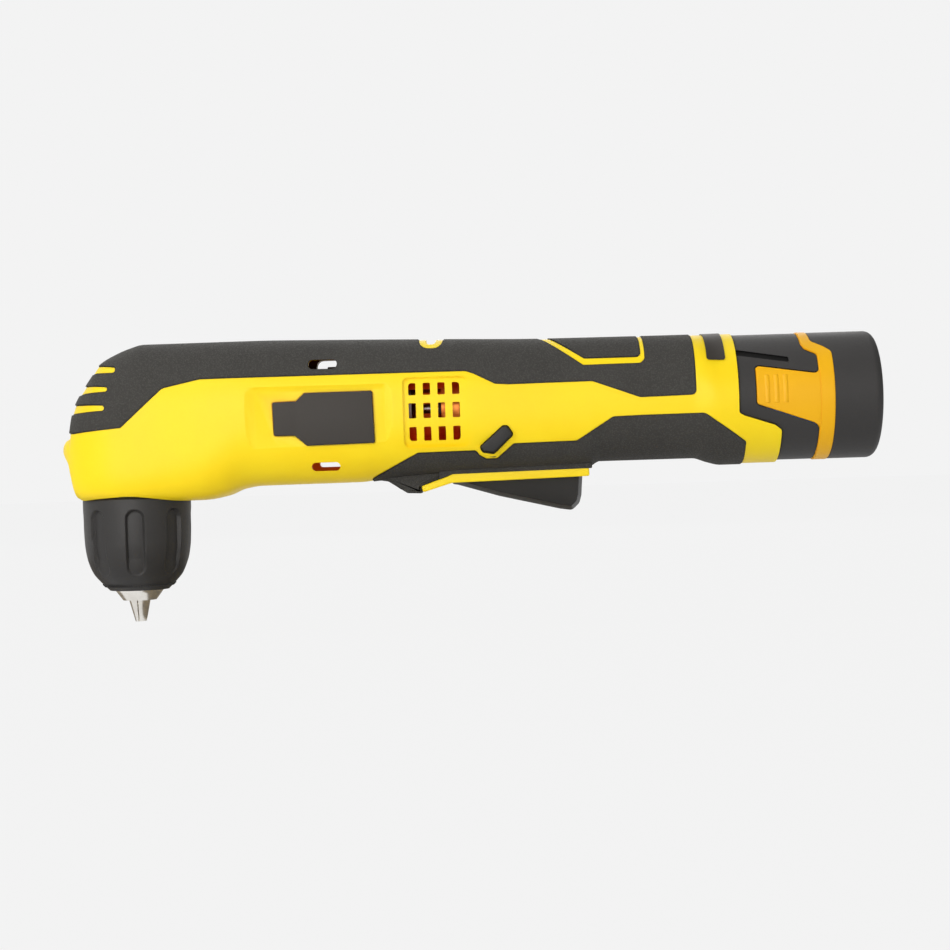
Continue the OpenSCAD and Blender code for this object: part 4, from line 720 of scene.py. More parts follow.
# openings of the body
opening = {
    "slots": [(65.9, 15, 9.6, 3.2), (65.9, -18.7, 9.5, 2.8)],
    "farSlots": [(65.9, 16.0, 9.6, 4.8), (65.9, -17.3, 9.5, 2.6)],
    "ventCols": [95.1, 99.9, 104.7, 109.5], "farVentCols": [96.2, 101.35, 106.5, 111.4],
    "ventRows": [(5.8, 4.0), (-1.3, 5.0), (-8.9, 4.6)], "ventW": 2.4, "ventRound": (1.3, 0.35),
    "ventFrame": (92.4, -13.0, 20.6, 22.3), "panel": (42.1, -14.1, 44.6, 21.1), "panelRound": 1.6,
    "panelFlat": (21.8, 27.0), "panelInset": 0.3, "panelDraft": 10.0, "panelFoot": -0.2,
    "frameSteps": [(0.3, 0.4), (0.6, 0.2), (0.95, 0)],  # depth and how far the edge runs out
    "selector": [(117, -13.8), (124.6, -7.2), (126.1, -7.2), (127.9, -10), (121.5, -16), (117.9, -15.5)],
    "selectorRound": 0.9, "selectorGap": 0.3,
    "lip": (0.5, 1.0), "lipLine": (122.5, -11.6, 0.35),  # height and width, then the slope of its upper end
    "rail": [(97, -26.2), (106.2, -23), (107.6, -21.8), (153.1, -20.8), (153.3, -24.5), (107.2, -25.4),
             (97.5, -28.3)],
    "railCorners": [0.6, 2, 2, 0.6, 0.6, 2, 0.6], "railIn": 7.4, "railOut": 10.2, "railRound": 0.45,
    "railGap": 0.1,
    "skirt": [(103, -19.4), (154.2, -18.2), (154.2, -21.9), (107.6, -22.5), (103, -24.1)],
    "skirtCorners": [0, 0.6, 0.4, 0, 0], "skirtIn": 6.0, "skirtProud": 0.5, "skirtRound": 0.4,
    "lug": [(80.6, -23.4), (85.9, -24.3), (92.2, -28.4), (96.8, -28.6), (97.1, -28.2), (97.1, -26.2),
            (105.6, -23.2), (105.6, -19.6), (86.9, -20.3)],
    "lugCorners": [0, 2, 1.5, 0.8, 0.8, 0.3, 0, 0, 0], "lugHalf": 8.5,
    "lugSteps": [(0, 1.0), (0.5, 0.3), (1.1, 0)],  # how far in from the end, and the inset there
    "screws": [(27, 16.8), (27, -18.5), (77, 18.6), (77, -18.6), (120.5, 16.8), (149.4, 16.5),
               (159.5, -15.4)],
    "bossR": 3.3, "bossFoot": 6.2, "wellR": 2.8, "wellFoot": 8.0, "shankR": 1.45,
    "light": (88.7, -25.6, 216.0, 2.3), "lightDepth": (-9.0, 8.0), "lightRoom": 0.9, "lightGap": 0.1,
    "pivot": (111.5, -21.6), "pinR": 1.52, "pinReach": 9.6,
    "notchX": 101.6, "notchDrop": 0.9, "notch": (3.4, 2.5), "notchRim": (7.8, 3.9),  # width and depth
    # chuck recess and spindle hole: radius, foot, top and number of sides
    "bores": [(19.3, -1.0, 42.5, 128), (9.0, 10.0, 60.0, 64)],
    "behindRound": [0, 1.2, 1.2, 1.6, 1.6, 0, 0, 0],
}
packForm = {
    "lift": 0.3, "radius": 21.3, "coreR": 19.9, "length": 48.1, "stem": 183.0, "stemDrop": -0.2,
    "cell": 18.0, "stemWall": 0.5, "spare": 0.3, "stemFloor": 1.4,
}
sides = [(-1, "Left"), (1, "Right")]


def triggerChannel():
    return prism(box(trig - 1, -40, guard + 0.1 - trig, 25), -opening["railIn"], opening["railIn"])


def lightPocket(room):
    x, z, tilt, r = opening["light"]
    tilt, r = math.radians(tilt), r + room
    s, c = math.sin(tilt), math.cos(tilt)

    def place(a, b, d):
        return x + s * d + c * a, b, axisZ + z + c * d - s * a

    return revolve([(r, d) for d in opening["lightDepth"]], 40, place)


def topNotch(width, depth):
    # a U across the top, seen from the side
    x, top, r = opening["notchX"], up - opening["notchDrop"], width / 2 * 0.8
    left, right, foot = x - width / 2, x + width / 2, top - depth
    return prism(roundCorners([(left, 40), (left, foot), (right, foot), (right, 40)], [0, r, r, 0]))


def pillars(r, y0, y1):
    # round bars at the places of the housing screws
    return joined([cylinderAcross(x, z, r, y0, y1) for x, z in opening["screws"]])


def screwWells(side, obj):
    if side > 0:
        cut(obj, pillars(opening["wellR"], opening["wellFoot"], 40))


def coolingSlots(side, obj):
    for slot in opening["slots" if side < 0 else "farSlots"]:
        cut(obj, prism(pill(*slot)))


def behindBody():
    # the room of the pack behind the body and its tongue
    return [(rear, 40), (rear, -5.3), (rear + 1.8, -6.3), (rear + tongue - 2.3, -9.6), (rear + tongue, -11.3),
            (rear + tongue, -40), (rear + 80, -40), (rear + 80, 40)]


def cellSpots():
    # centres of the three round cells, across the tool and up
    ring = packForm["cell"] / math.sqrt(3)
    turns = [math.radians(t) for t in (180, 300, 60)]
    return [(ring * math.sin(t), packForm["stemDrop"] - ring * math.cos(t)) for t in turns]


def stemPrism(x0, x1, spare):
    # three round cells side by side, each with its thin wall
    core = rodAlong(0, packForm["stemDrop"], packForm["cell"] / math.sqrt(3), x0, x1, 72)
    r = packForm["cell"] / 2 + packForm["stemWall"] + spare
    return joined([core] + [rodAlong(y, z, r, x0, x1, 72) for y, z in cellSpots()])


def ventHoles(shell, cols):
    # four by three holes, the outer corners rounder
    rows, w = opening["ventRows"], opening["ventW"]
    big, small = opening["ventRound"]
    corners = [(0, 2), (3, 2), (3, 0), (0, 0)]
    for i, x in enumerate(cols):
        for j, (z, t) in enumerate(rows):
            radii = [big if (i, j) == corner else small for corner in corners]
            cut(shell, prism(roundCorners(box(x - w / 2, z - t / 2, w, t), radii)))


def addBosses(shell, side):
    # screw bosses with a hole for the shank
    bosses = pillars(opening["bossR"], opening["bossFoot"], 40)
    join(shell, trim(bosses, halfSkin(side, 2 * body["softGap"] - body["softDepth"], body["seam"])))
    cut(shell, pillars(opening["shankR"], opening["bossFoot"] - 1, opening["wellFoot"] + 1))


def addLip(shell, side, knob):
    # a low bank under the selector
    high, wide = opening["lip"]
    x0, z0, slope = opening["lipLine"]
    wedge = [(x, min(z, z0 + slope * (x - x0))) for x, z in grow(knob, wide)]
    join(shell, trim(halfSkin(side, high, body["seam"]), prism(wedge)))


def makeShell(side):
    shell = halfSkin(side, 0, body["seam"])
    recess = softPattern(0)
    cut(recess, halfSkin(side, -body["softDepth"], -2))
    cut(shell, recess)
    inside = [x for x in ringPlaces if x < packForm["stem"] - 1] + [packForm["stem"] + packForm["stemFloor"]]
    cut(shell, halfSkin(side, -body["wall"], -3, inside, body["innerSteps"]))
    if side > 0:
        addBosses(shell, side)
    # the rail beside the trigger
    ends = outerRound(side, opening["railIn"], opening["railOut"], opening["railRound"])
    join(shell, loaf(roundCorners(opening["rail"], opening["railCorners"]), ends))
    knob = roundCorners(opening["selector"], opening["selectorRound"])
    addLip(shell, side, knob)
    for r, foot, top, segments in opening["bores"]:
        cut(shell, revolve([(r, foot), (r, top)], segments, upright))
    # the flat panel with drafted walls, then the frame round the vents
    flat, outside = opening["panelFlat"]
    edge = grow(roundCorners(box(*opening["panel"]), opening["panelRound"]), -opening["panelInset"])
    wide, foot = grow(edge, opening["panelDraft"]), grow(edge, opening["panelFoot"])
    cut(shell, sidePrism(side, wide, flat, outside, foot))
    edge = roundCorners(box(*opening["ventFrame"]), opening["panelRound"])
    for depth, spread in opening["frameSteps"]:
        ventRecess = sidePrism(side, grow(edge, spread))
        cut(shell, cut(ventRecess, halfSkin(side, -depth, -2)))
    if side < 0:
        # a fine groove round the badge plate
        groove = grow(roundCorners(plates["badge"], plates["badgeRound"]), plates["grooveWide"])
        cut(shell, sidePrism(side, groove, plates["badgeSeat"] - plates["grooveDeep"], plates["grooveTop"]))
    coolingSlots(side, shell)
    ventHoles(shell, opening["ventCols" if side < 0 else "farVentCols"])
    cut(shell, prism(grow(knob, opening["selectorGap"])))
    cut(shell, triggerChannel())
    cut(shell, cylinderAcross(*opening["pivot"], opening["pinR"], -opening["pinReach"], opening["pinReach"]))
    cut(shell, lightPocket(opening["lightRoom"]))
    screwWells(side, shell)
    cut(shell, topNotch(*opening["notch"]))
    # socket of the pack
    spare = packForm["spare"]
    cut(shell, stemPrism(packForm["stem"] - 0.5, rear + 60, spare))
    cut(shell, rodAlong(0, packForm["lift"], packForm["coreR"] + spare, rear - 0.01, rear + 60, 128))
    cut(shell, prism(roundCorners(behindBody(), opening["behindRound"])))
    # painted glow and painted shade of the inner walls, as shares that the shell's material reads
    paintedLightMask = shell.data.attributes.new("inside", "FLOAT", "POINT")
    paintedLightMask.data.foreach_set("value", [paintedLightShare(*(v.co / mm)) for v in shell.data.vertices])
    return shell


def ribLift(x):
    # the ribs stand out more towards the nose
    start, span = pattern["ribSpan"]
    share = min(1, max(0, (start - x) / span))
    return body["softProud"] + pattern["ribProud"] * share * share * (3 - 2 * share)


def makeGrip(side):
    seam = body["seam"]
    grip = trim(halfSkin(side, pattern["lipProud"], seam), softPattern(pattern["groove"]))
    join(grip, trim(halfSkin(side, ribLift, seam), softPattern(pattern["crownInset"])))
    # lug under the body that carries the light
    edge = roundCorners(opening["lug"], opening["lugCorners"])
    half, steps = opening["lugHalf"], opening["lugSteps"]
    join(grip, joined([sidePrism(side, grow(edge, -inset), seam, half - d) for d, inset in steps]))
    # skirt that hangs from the grip over the rail
    skirtOut = opening["railOut"] + opening["skirtProud"]
    ends = outerRound(side, opening["skirtIn"], skirtOut, opening["skirtRound"])
    join(grip, loaf(roundCorners(opening["skirt"], opening["skirtCorners"]), ends))
    cut(grip, halfSkin(side, body["softGap"] - body["softDepth"], -1))
    coolingSlots(side, grip)
    cut(grip, triggerChannel())
    gap = opening["railGap"]
    cut(grip, sidePrism(side, grow(opening["rail"], gap), opening["railIn"] - gap, opening["railOut"] + gap))
    cut(grip, lightPocket(opening["lightGap"]))
    screwWells(side, grip)
    return cut(grip, prism(behindBody()))


def dress(obj, name, key, bodyName, slot, *replaced, sharp=34):
    # name, finish and body of a finished piece, and the CAD nodes it stands for; slot is not used
    obj.name = obj.data.name = name
    finishMesh(obj, finish[key], sharp)
    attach(obj, bodyName)
    if replaced:
        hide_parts(*replaced)
    return obj


for side, word in sides:
    low = word.lower()
    shell = dress(makeShell(side), "shell" + word, "shell", "housing", "yellow_plastic", "housing_" + low)
    grip = dress(makeGrip(side), "grip" + word, "grip", "housing", "soft_grip", "soft_grip_" + low)
    print(word, "shell:", len(shell.data.polygons), "faces, grip:", len(grip.data.polygons), "faces")


def makeBadge():
    seat, edge = plates["badgeSeat"], roundCorners(plates["badge"], plates["badgeRound"])
    return loaf(edge, roundEnds(-seat - plates["badgeThick"], -seat, plates["badgeEdge"], 0))


def makeLabel():
    # a thin plate that follows the collar
    places = [x for x in ringPlaces if x > rear - plates["collar"]]
    label = halfSkin(-1, plates["labelProud"], 2 * body["seam"], places)
    cut(label, halfSkin(-1, plates["labelSunk"], body["seam"], places))
    return trim(label, prism(roundCorners(plates["label"], plates["labelRound"]), -60, 0))


dress(makeBadge(), "badgePlate", "plate", "housing", "plate_black", "badge_plate")
dress(makeLabel(), "labelPlate", "plate", "housing", "plate_black", "label_plate")
print("plates done")

# trigger lever and direction selector
control = {
    "trigger": [(107.1, -25.8), (109.1, -26.1), (123.2, -30.4), (143.5, -35.3), (147.5, -35.9), (150, -33.6),
                (150.8, -30.9), (151.3, -24.5), (151.3, -22.6), (115.5, -19.8), (110, -19), (107.6, -21)],
    "triggerRound": [1.4, 1.5, 20, 8, 2, 2.5, 3, 1.5, 1.4, 3, 2, 1.4], "triggerHalf": 7.0, "pinHole": 1.55,
    "bevel": [(0, 1.8), (0.15, 1.44), (4.2, 0.144), (5.0, 0)],  # distance from the side and inset
    "selectorX": 122.5, "selectorProud": 0.4, "selectorDeep": 7.0, "selectorEdge": 0.55,
    "flange": 1.4, "flangeReach": 1.08, "bar": (120.1, -12.9, 3.8, 3.3), "barSunk": 0.1,
}


def makeLever():
    half, bevel = control["triggerHalf"], control["bevel"]
    layers = [(d - half, inset) for d, inset in bevel] + [(half - d, inset) for d, inset in bevel[::-1]]
    lever = loaf(roundCorners(control["trigger"], control["triggerRound"]), layers)
    return cut(lever, cylinderAcross(*opening["pivot"], control["pinHole"], -20, 20))


def makeSlider():
    # a button at each side, each with a flange behind the wall, and the bar between them
    reach = easeLine(widthLine, control["selectorX"]) + control["selectorProud"]
    root, edge = reach - control["selectorDeep"], control["selectorEdge"]
    knob = roundCorners(opening["selector"], opening["selectorRound"])
    slider = loaf(knob, roundEnds(-reach, -root, edge, 0))
    join(slider, loaf(knob, roundEnds(root, reach, 0, edge)))
    for side in (-1, 1):
        join(slider, sidePrism(side, grow(knob, control["flange"]), root, root * control["flangeReach"]))
    end = root + control["barSunk"]
    return join(slider, prism(box(*control["bar"]), -end, end))


dress(makeLever(), "triggerLever", "trigger", "trigger", "black_plastic", "trigger")
dress(makeSlider(), "directionSlider", "controlBlack", "selector", "black_plastic", "direction_selector")
print("controls done")

# chuck sleeve: a turned outer line with soft flutes that run out below
sleeve = {
    "line": [(10.8, 9.9), (13.3, 12.4), (16.4, 15), (19.2, 16.4), (22.4, 17.3), (26.8, 17.9), (32.8, 18.1),
             (41.3, 18.1), (42.2, 17.4)],
    "bore": [(14.4, 42.2), (14.4, 23), (12.42, 23), (12.42, 16.1), (8.8, 16.1), (8.8, 10.8)],
    "flutes": 8, "fluteLong": 22.4, "fluteWide": 6.6, "fluteDeep": 1.3, "fluteFoot": 15.8, "fluteEdge": 0.75,
    "runOut": 6.0, "footShare": 0.25, "phase": 277.0,
    "columns": 480, "rowStep": 0.33, "edgeRows": [13.3, 41.3, 41.6, 41.9],
    "teeth": 96, "toothZ": 12.6, "tooth": (1.5, 0.42, 0.3), "toothSunk": 0.12,
    "flare": (7.3, 10.5, 11.6, 7.2, 8.0),  # heights of tip, rim and top, then the rim's old and new radius
}


def fluteDepth(angle, z, r):
    pitch = 2 * math.pi / sleeve["flutes"]
    off = (angle - math.radians(sleeve["phase"]) + pitch / 2) % pitch - pitch / 2
    tall, wide, foot = sleeve["fluteLong"] / 2, sleeve["fluteWide"] / 2, sleeve["footShare"]
    rise = z - sleeve["fluteFoot"] - tall
    inside = wide - math.hypot(max(abs(rise) - tall + wide, 0), off * r)
    share = min(1, max(0, inside / sleeve["fluteEdge"]))
    ramp = min(1, max(0, (rise + tall) / sleeve["runOut"]))
    return sleeve["fluteDeep"] * share**2 * (3 - 2 * share) * (foot + (1 - foot) * ramp)


def makeSleeve():
    low, high = sleeve["line"][0][0], sleeve["line"][-1][0]
    rows = sorted(set(np.round(np.arange(low, high, sleeve["rowStep"]), 3)) | {*sleeve["edgeRows"], high})
    rings = [(easeLine(sleeve["line"], z), float(z), True) for z in rows]
    rings += [(r, z, False) for r, z in sleeve["bore"]]
    verts = []
    for r, z, fluted in rings:
        for a in around(sleeve["columns"]):
            deep = r - fluteDepth(a, z, r) if fluted else r
            verts.append((deep * math.cos(a), deep * math.sin(a), z))
    return solidFrom("sleeve", verts, ringFaces(len(rings), sleeve["columns"], loop=True))


def makeNose():
    # the steel nose flares a little under the sleeve
    nose = copyOf(nodes["chuck_body"])
    work = bmesh.new()
    work.from_mesh(nose.data)
    bmesh.ops.remove_doubles(work, verts=work.verts, dist=1e-6)
    tip, rim, top, old, new = sleeve["flare"]
    foot = max(math.hypot(v.co.x, v.co.y) / mm for v in work.verts if v.co.z / mm < tip + 0.02)
    for v in work.verts:
        r, z = math.hypot(v.co.x, v.co.y) / mm, v.co.z / mm
        share = min(1, max(0, (z - tip) / (rim - tip)))
        if z < top and abs(r - foot - (old - foot) * share) < 0.3:
            v.co.x, v.co.y = (c * (1 + share * (new - old) / r) for c in v.co.xy)
    work.to_mesh(nose.data)
    work.free()
    return nose


def makeTooth():
    # one tooth leans with the tapered rim, its root sunk in the sleeve
    long, wide, proud = sleeve["tooth"]
    slope, out = Vector((1, 0, 1)).normalized(), Vector((1, 0, -1)).normalized()
    verts = []
    for length, half, height in ((long, wide / 2, -sleeve["toothSunk"]), (long * 0.8, wide / 6, proud)):
        for end in (-1, 1):
            for side in (-1, 1):
                verts.append(slope * (length / 2 * end) + Vector((0, side * half, 0)) + out * height)
    faces = [(0, 1, 3, 2), (4, 6, 7, 5), (0, 4, 5, 1), (2, 3, 7, 6), (0, 2, 6, 4), (1, 5, 7, 3)]
    return solidFrom("tooth", verts, faces)


noseBody = nodes["chuck_body"]["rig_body"]
dress(makeNose(), "chuckNose", "chuckSteel", noseBody, "chuck_steel", "chuck_body", sharp=25)
dress(makeSleeve(), "chuckSleeve", "sleeveBlack", "sleeve", "chuck_sleeve", "chuck_sleeve")
rim = easeLine(sleeve["line"], sleeve["toothZ"])
knurl = ringPattern().lay(makeTooth(), Count=sleeve["teeth"], Radius=rim * mm, Height=sleeve["toothZ"] * mm,
                          Finish=finish["sleeveBlack"])
dress(knurl, "sleeveKnurl", "sleeveBlack", "sleeve", "chuck_sleeve")
print("chuck sleeve done")

# battery pack
pack = {
    "bandX": 228.8, "bandProud": 0.3,
    "caseSoft": [(0, 0.35), (0.15, 0.12), (0.4, 0)],  # rounded edges: depth under the skin, and inset
    "bandSoft": [(0, 0.4), (0.15, 0.14), (0.42, 0)], "latchSoft": [(0, 0.3), (0.15, 0.1), (0.4, 0)],
    "caseFront": [(0.3, 40), (0.3, -5.3), (2.1, -6.0), (12.2, -9.3), (14.5, -11.3), (14.5, -40)],
    "caseRear": [(0.35, -40), (0.35, 13.35), (-3.55, 15.25), (-4.35, 17), (-4.35, 40)],
    "caseRound": [0, 1.4, 1.4, 1.8, 1.8, 0, 0, 1.4, 1.2, 1, 0],
    "tower": (168, 184, -11, 11, 61.5, 76.5), "towerEdge": 0.6,
    "contactPitch": 8.0, "contactHalf": 1.1, "contactX": (167, 176), "contactZ": (64, 72.2),
    "fitGap": 0.05, "cellStart": 0.8, "pocketDeep": 2.9,
    "band": [(-4.3, 40), (-4.3, 17), (-3.5, 15.3), (0.4, 13.4), (0.4, -40), (5.4, -40), (5.4, 14.4),
             (3, 16.2), (-0.8, 18.2), (-0.9, 40)],
    "bandRound": [0, 1, 1.2, 1.4, 0, 0, 1.8, 1.4, 1.2, 0],
    "capProud": 0.1, "capRound": 3.0, "capThick": 2.3,
    "dish": [(16.6, 0), (16.2, 0.15), (16.0, 0.35), (0.02, 0.35)],  # radius and depth in the end
    "capFront": [(-0.85, 40), (-0.75, 18.25), (3.05, 16.2), (5.45, 14.4), (5.45, -40), (60, -40), (60, 40)],
    "capFrontRound": [0, 1.2, 1.4, 1.8, 0, 0, 0],
    "screwRing": 14.5, "screwSink": 1.4,
    "threadHole": (1.22, 9.4), "screwHole": (1.25, 12.0), "headHole": (2.7, 1.42),  # radius and depth
    "latch": [(208.4, 9.4), (208.4, -2.5), (227.4, -9.1), (228.6, -9.9), (229.4, -11.3), (229.4, 8.3),
              (228.6, 7.3), (227.4, 7.15), (209.6, 9.9)],
    "latchRound": [0.8, 1.2, 1, 1, 0, 0, 1, 1, 0.8], "latchGap": 0.35, "latchDeep": 1.4, "latchProud": 0.2,
    "ribs": 3, "ribPitch": 3.0, "ribX": 211.9, "ribArc": (-9.0, 20.0), "ribEnd": 2.5,
    "ribWide": 1.1, "ribProud": 0.5, "ribSunk": 0.5, "ribFoot": 0.15,
    "slit": [(201.4, 16.0), (219.6, 12.8), (219.8, 11.0), (201.4, 14.0)], "slitRound": [0, 0.5, 0.5, 0],
    "slitDeep": 1.2, "slitShadeFrom": 1.25, "slitShadeTo": 0.7,
}
lift, skinR, coreR = packForm["lift"], packForm["radius"], packForm["coreR"]
packEnd, bandX = rear + packForm["length"], pack["bandX"]
latchEdge = roundCorners(pack["latch"], pack["latchRound"])
slitEdge = roundCorners(pack["slit"], pack["slitRound"])


def drum(r, x0, x1):
    return rodAlong(0, lift, r, x0, x1, 160)


def softLayers(r, soft, x0, x1, outline):
    # the same outline cut from thinner drums and a little inside itself, so its edge is rounded
    return joined([trim(drum(r - depth, x0, x1), prism(grow(outline, -inset))) for depth, inset in soft])


def bentPlate(side, outerR, innerR, x0, outline):
    # a piece of tube on one side of the pack, cut to an outline in the side view
    x1 = rear + 40
    tube = cut(drum(outerR, x0, x1), drum(innerR, x0 - 1, x1 + 1))
    return trim(tube, sidePrism(side, outline))


def screwSpots():
    turns = [2 * math.pi / 3 * k for k in range(3)]
    return [(pack["screwRing"] * math.sin(t), pack["screwRing"] * -math.cos(t)) for t in turns]


def drill(obj, hole):
    # holes in the end of the pack, each with a radius and a depth
    r, depth = hole
    for y, z in screwSpots():
        cut(obj, rodAlong(y, lift + z, r, packEnd - depth, packEnd + 9))


def makeCase():
    edge = [(rear + x, z) for x, z in pack["caseFront"]] + [(bandX + x, z) for x, z in pack["caseRear"]]
    case = softLayers(skinR, pack["caseSoft"], rear - 3, rear + 38, roundCorners(edge, pack["caseRound"]))
    join(case, drum(coreR, rear + packForm["spare"], packEnd - pack["capThick"] - 0.1))
    join(case, stemPrism(packForm["stem"], rear + 4, 0))
    # the tower of the contacts
    tower = soften(block(*pack["tower"]), pack["towerEdge"])
    join(case, trim(tower, stemPrism(160, 190, 0)))
    for y, z in cellSpots():
        r, start = packForm["cell"] / 2 + pack["fitGap"], packForm["stem"] + pack["cellStart"]
        cut(case, rodAlong(y, z, r, start, packEnd + 9, 96))
    latchRoom = grow(latchEdge, pack["latchGap"])
    for side in (-1, 1):
        cut(case, bentPlate(side, skinR + 5, skinR - pack["pocketDeep"], rear - 1, latchRoom))
        cut(case, bentPlate(side, skinR + 5, skinR - pack["slitDeep"], rear - 5, slitEdge))
    for y in (-pack["contactPitch"], 0, pack["contactPitch"]):
        across = (y - pack["contactHalf"], y + pack["contactHalf"])
        cut(case, block(*pack["contactX"], *across, *pack["contactZ"]))
    drill(case, pack["threadHole"])
    return case


def makeCap():
    r, end, top = pack["capRound"], packEnd, skinR + pack["capProud"]
    turns = np.linspace(0.12, math.pi / 2, 12)
    line = [(top, rear + 10), (top, end - r)]
    line += [(top - r + r * math.cos(t), end - r + r * math.sin(t)) for t in turns]
    line += [(dishR, end - depth) for dishR, depth in pack["dish"]]
    cap = revolve(line, 160, alongTool(0, lift))
    trim(cap, prism(roundCorners([(bandX + x, z) for x, z in pack["capFront"]], pack["capFrontRound"])))
    cut(cap, drum(coreR + pack["fitGap"], rear - 1, end - pack["capThick"]))
    drill(cap, pack["screwHole"])
    drill(cap, pack["headHole"])
    return cap


def makeBand():
    edge = roundCorners([(bandX + x, z) for x, z in pack["band"]], pack["bandRound"])
    band = softLayers(skinR + pack["bandProud"], pack["bandSoft"], rear, packEnd, edge)
    return cut(band, drum(coreR + pack["fitGap"], rear - 1, packEnd + 1))


def makeTab(side):
    tab = softLayers(skinR + pack["latchProud"], pack["latchSoft"], rear, rear + 40, latchEdge)
    cut(tab, drum(skinR - pack["latchDeep"], rear - 1, rear + 41))
    return trim(tab, sidePrism(side, box(rear, -40, 60, 80)))


def makeRib(side):
    # one soft rib over the curve of the latch, low at both ends
    wide, foot, proud = pack["ribWide"], skinR - pack["ribSunk"], pack["ribProud"]
    flank = [(wide, foot), (wide * 0.8, skinR + pack["ribFoot"]), (wide * 0.45, skinR + proud * 0.85)]
    section = [(-x, r) for x, r in flank] + [(0, skinR + proud)] + flank[::-1]
    low, high = pack["ribArc"]
    turns, verts = np.linspace(low, high, 24), []
    for t in turns:
        drop = max(0, 1 - min(t - low, high - t) / pack["ribEnd"])
        c, s = math.cos(math.radians(t)), math.sin(math.radians(t))
        for x, r in section:
            r -= drop * (r - foot)
            verts.append((pack["ribX"] + x, side * r * c, axisZ + lift + r * s))
    return solidFrom("rib", verts, ringFaces(len(turns), len(section)))


dress(makeCase(), "packCase", "packBlack", "battery", "black_plastic", "battery_case")
for side, word in sides:
    # the floor of the long slit is a near-black sheet, painted shade for the deep narrow gap
    outerR, innerR = skinR - pack["slitShadeTo"], skinR - pack["slitShadeFrom"]
    seam = bentPlate(side, outerR, innerR, rear + 0.4, grow(slitEdge, -0.02))
    dress(seam, "packSeam" + word, "seam", "battery", "black_plastic")
dress(makeCap(), "packEndCap", "packBlack", "battery", "black_plastic", "battery_end_cap")
dress(makeBand(), "packBand", "amber", "battery", "orange_plastic", "battery_band")
ribRow = rowPattern()
for side, word in sides:
    latch = "latch_" + word.lower()
    dress(makeTab(side), "packLatch" + word, "amber", latch, "orange_plastic", latch)
    ribs = ribRow.lay(makeRib(side), Count=pack["ribs"], Pitch=pack["ribPitch"] * mm, Finish=finish["amber"])
    dress(ribs, "latchRibs" + word, "amber", latch, "orange_plastic")
print("battery pack done")

# screws with a cross recess, one mesh for each kind
screw = {
    "housing": {"tip": -9.0, "seat": 8.0, "headR": 2.5, "headH": 2.0, "shankR": 1.28},
    "pack": {"tip": 0.0, "seat": 7.5, "headR": 2.3, "headH": 1.0, "shankR": 1.18},
    "pitch": 1.0, "thread": [(0.8, 0), (1, 0.3), (1, 0.45), (0.8, 0.75)],  # share of the radius, and place
    "head": [(1, 0), (1, 0.55), (0.9, 0.8), (0.66, 1)],  # shares of the head's radius and height
    "recess": (0.6, 2.9, 0.55), "turn": 0.7,
}


def makeScrew(size, place):
    tip, under, headR, headH, r = (size[key] for key in ("tip", "seat", "headR", "headH", "shankR"))
    line = [(0.5 * r, tip), (0.8 * r, tip + 0.6)]
    for d in np.arange(tip + 1.2, under - 2, screw["pitch"]):
        line += [(share * r, float(d) + step) for share, step in screw["thread"]]
    line += [(r, under - 1), (r, under)]
    line += [(share * headR, under + rise * headH) for share, rise in screw["head"]]
    solid = revolve(line, 32, place)
    wide, across, deep = screw["recess"]
    square = [(-1, -1), (1, -1), (1, 1), (-1, 1)]
    for a, b in ((wide / 2, across / 2), (across / 2, wide / 2)):
        ends = (under + headH * (1 - deep), under + headH + 1)
        corners = [place(x * a, y * b, d) for d in ends for x, y in square]
        cut(solid, solidFrom("slot", corners, ringFaces(2, len(square))))
    return solid


screwsAt = screwPattern()


def layScrews(kind, spots, place, aboutX, bodyName):
    one = makeScrew(screw[kind], place)
    cloud = bpy.data.meshes.new("screwSpots")
    cloud.from_pydata([(x * mm, y * mm, z * mm) for x, y, z in spots], [], [])
    row = screwsAt.lay(addObject("screwSpots", cloud), Screw=one, Turn=screw["turn"], AboutX=aboutX,
                       Finish=finish["screwSteel"])
    bpy.data.objects.remove(one)
    dress(row, kind + "Screws", "screwSteel", bodyName, "screw_steel", bodyName + "_screws")


acrossSpots = [(x, 0, axisZ + z) for x, z in opening["screws"]]
layScrews("housing", acrossSpots, lambda a, b, d: (a, d, b), 0, "housing")
endX = packEnd - pack["screwSink"] - screw["pack"]["seat"]
endSpots = [(endX, y, axisZ + lift + z) for y, z in screwSpots()]
layScrews("pack", endSpots, lambda a, b, d: (d, a, b), 1, "battery")
print("screws done")

# stage: camera at the side, pale floor, soft light
view = {"x": 114.98, "z": 46.0, "distance": 640.0, "roll": 1.8, "spanMm": 322.7, "clip": 50.0,
        "floor": -4.0, "floorHalf": 6.0, "floorGlow": 0.985, "floorMirror": 0.8,
        "backdrop": rgb(243, 243, 243)}
camera = bpy.data.cameras.new("photoCamera")
cameraObj = addObject("photoCamera", camera)
roll = math.radians(view["roll"])
right = Vector((math.cos(roll), 0, -math.sin(roll)))
upward = Vector((math.sin(roll), 0, math.cos(roll)))
turn = Matrix((right, upward, Vector((0, -1, 0)))).transposed().to_4x4()
cameraObj.matrix_world = Matrix.Translation((view["x"] * mm, -view["distance"] * mm, view["z"] * mm)) @ turn
camera.angle = 2 * math.atan(view["spanMm"] / 2 / view["distance"])
camera.clip_end = view["clip"]
scene.camera = cameraObj


def paleStage(name):
    # shows the backdrop tone to the camera and keeps a faint shadow
    b = Bench(name)
    cloud = b.noise(b.place(), 3, 2, 0.5)
    direct, mirror = (b.node("ShaderNodeLightPath", out=ray) for ray in ("Is Camera Ray", "Is Glossy Ray"))
    tone = b.blend(cloud, (0.86, 0.86, 0.86, 1), (0.88, 0.88, 0.88, 1))
    plain = b.node("ShaderNodeBsdfDiffuse", {}, {"Color": tone})
    glow = b.node("ShaderNodeEmission", {}, {"Color": view["backdrop"], "Strength": 1.0})
    share = direct.maths("MAXIMUM", direct * view["floorGlow"], mirror * view["floorMirror"])
    return b.close(b.node("ShaderNodeMixShader", {}, {0: share, 1: plain, 2: glow}))


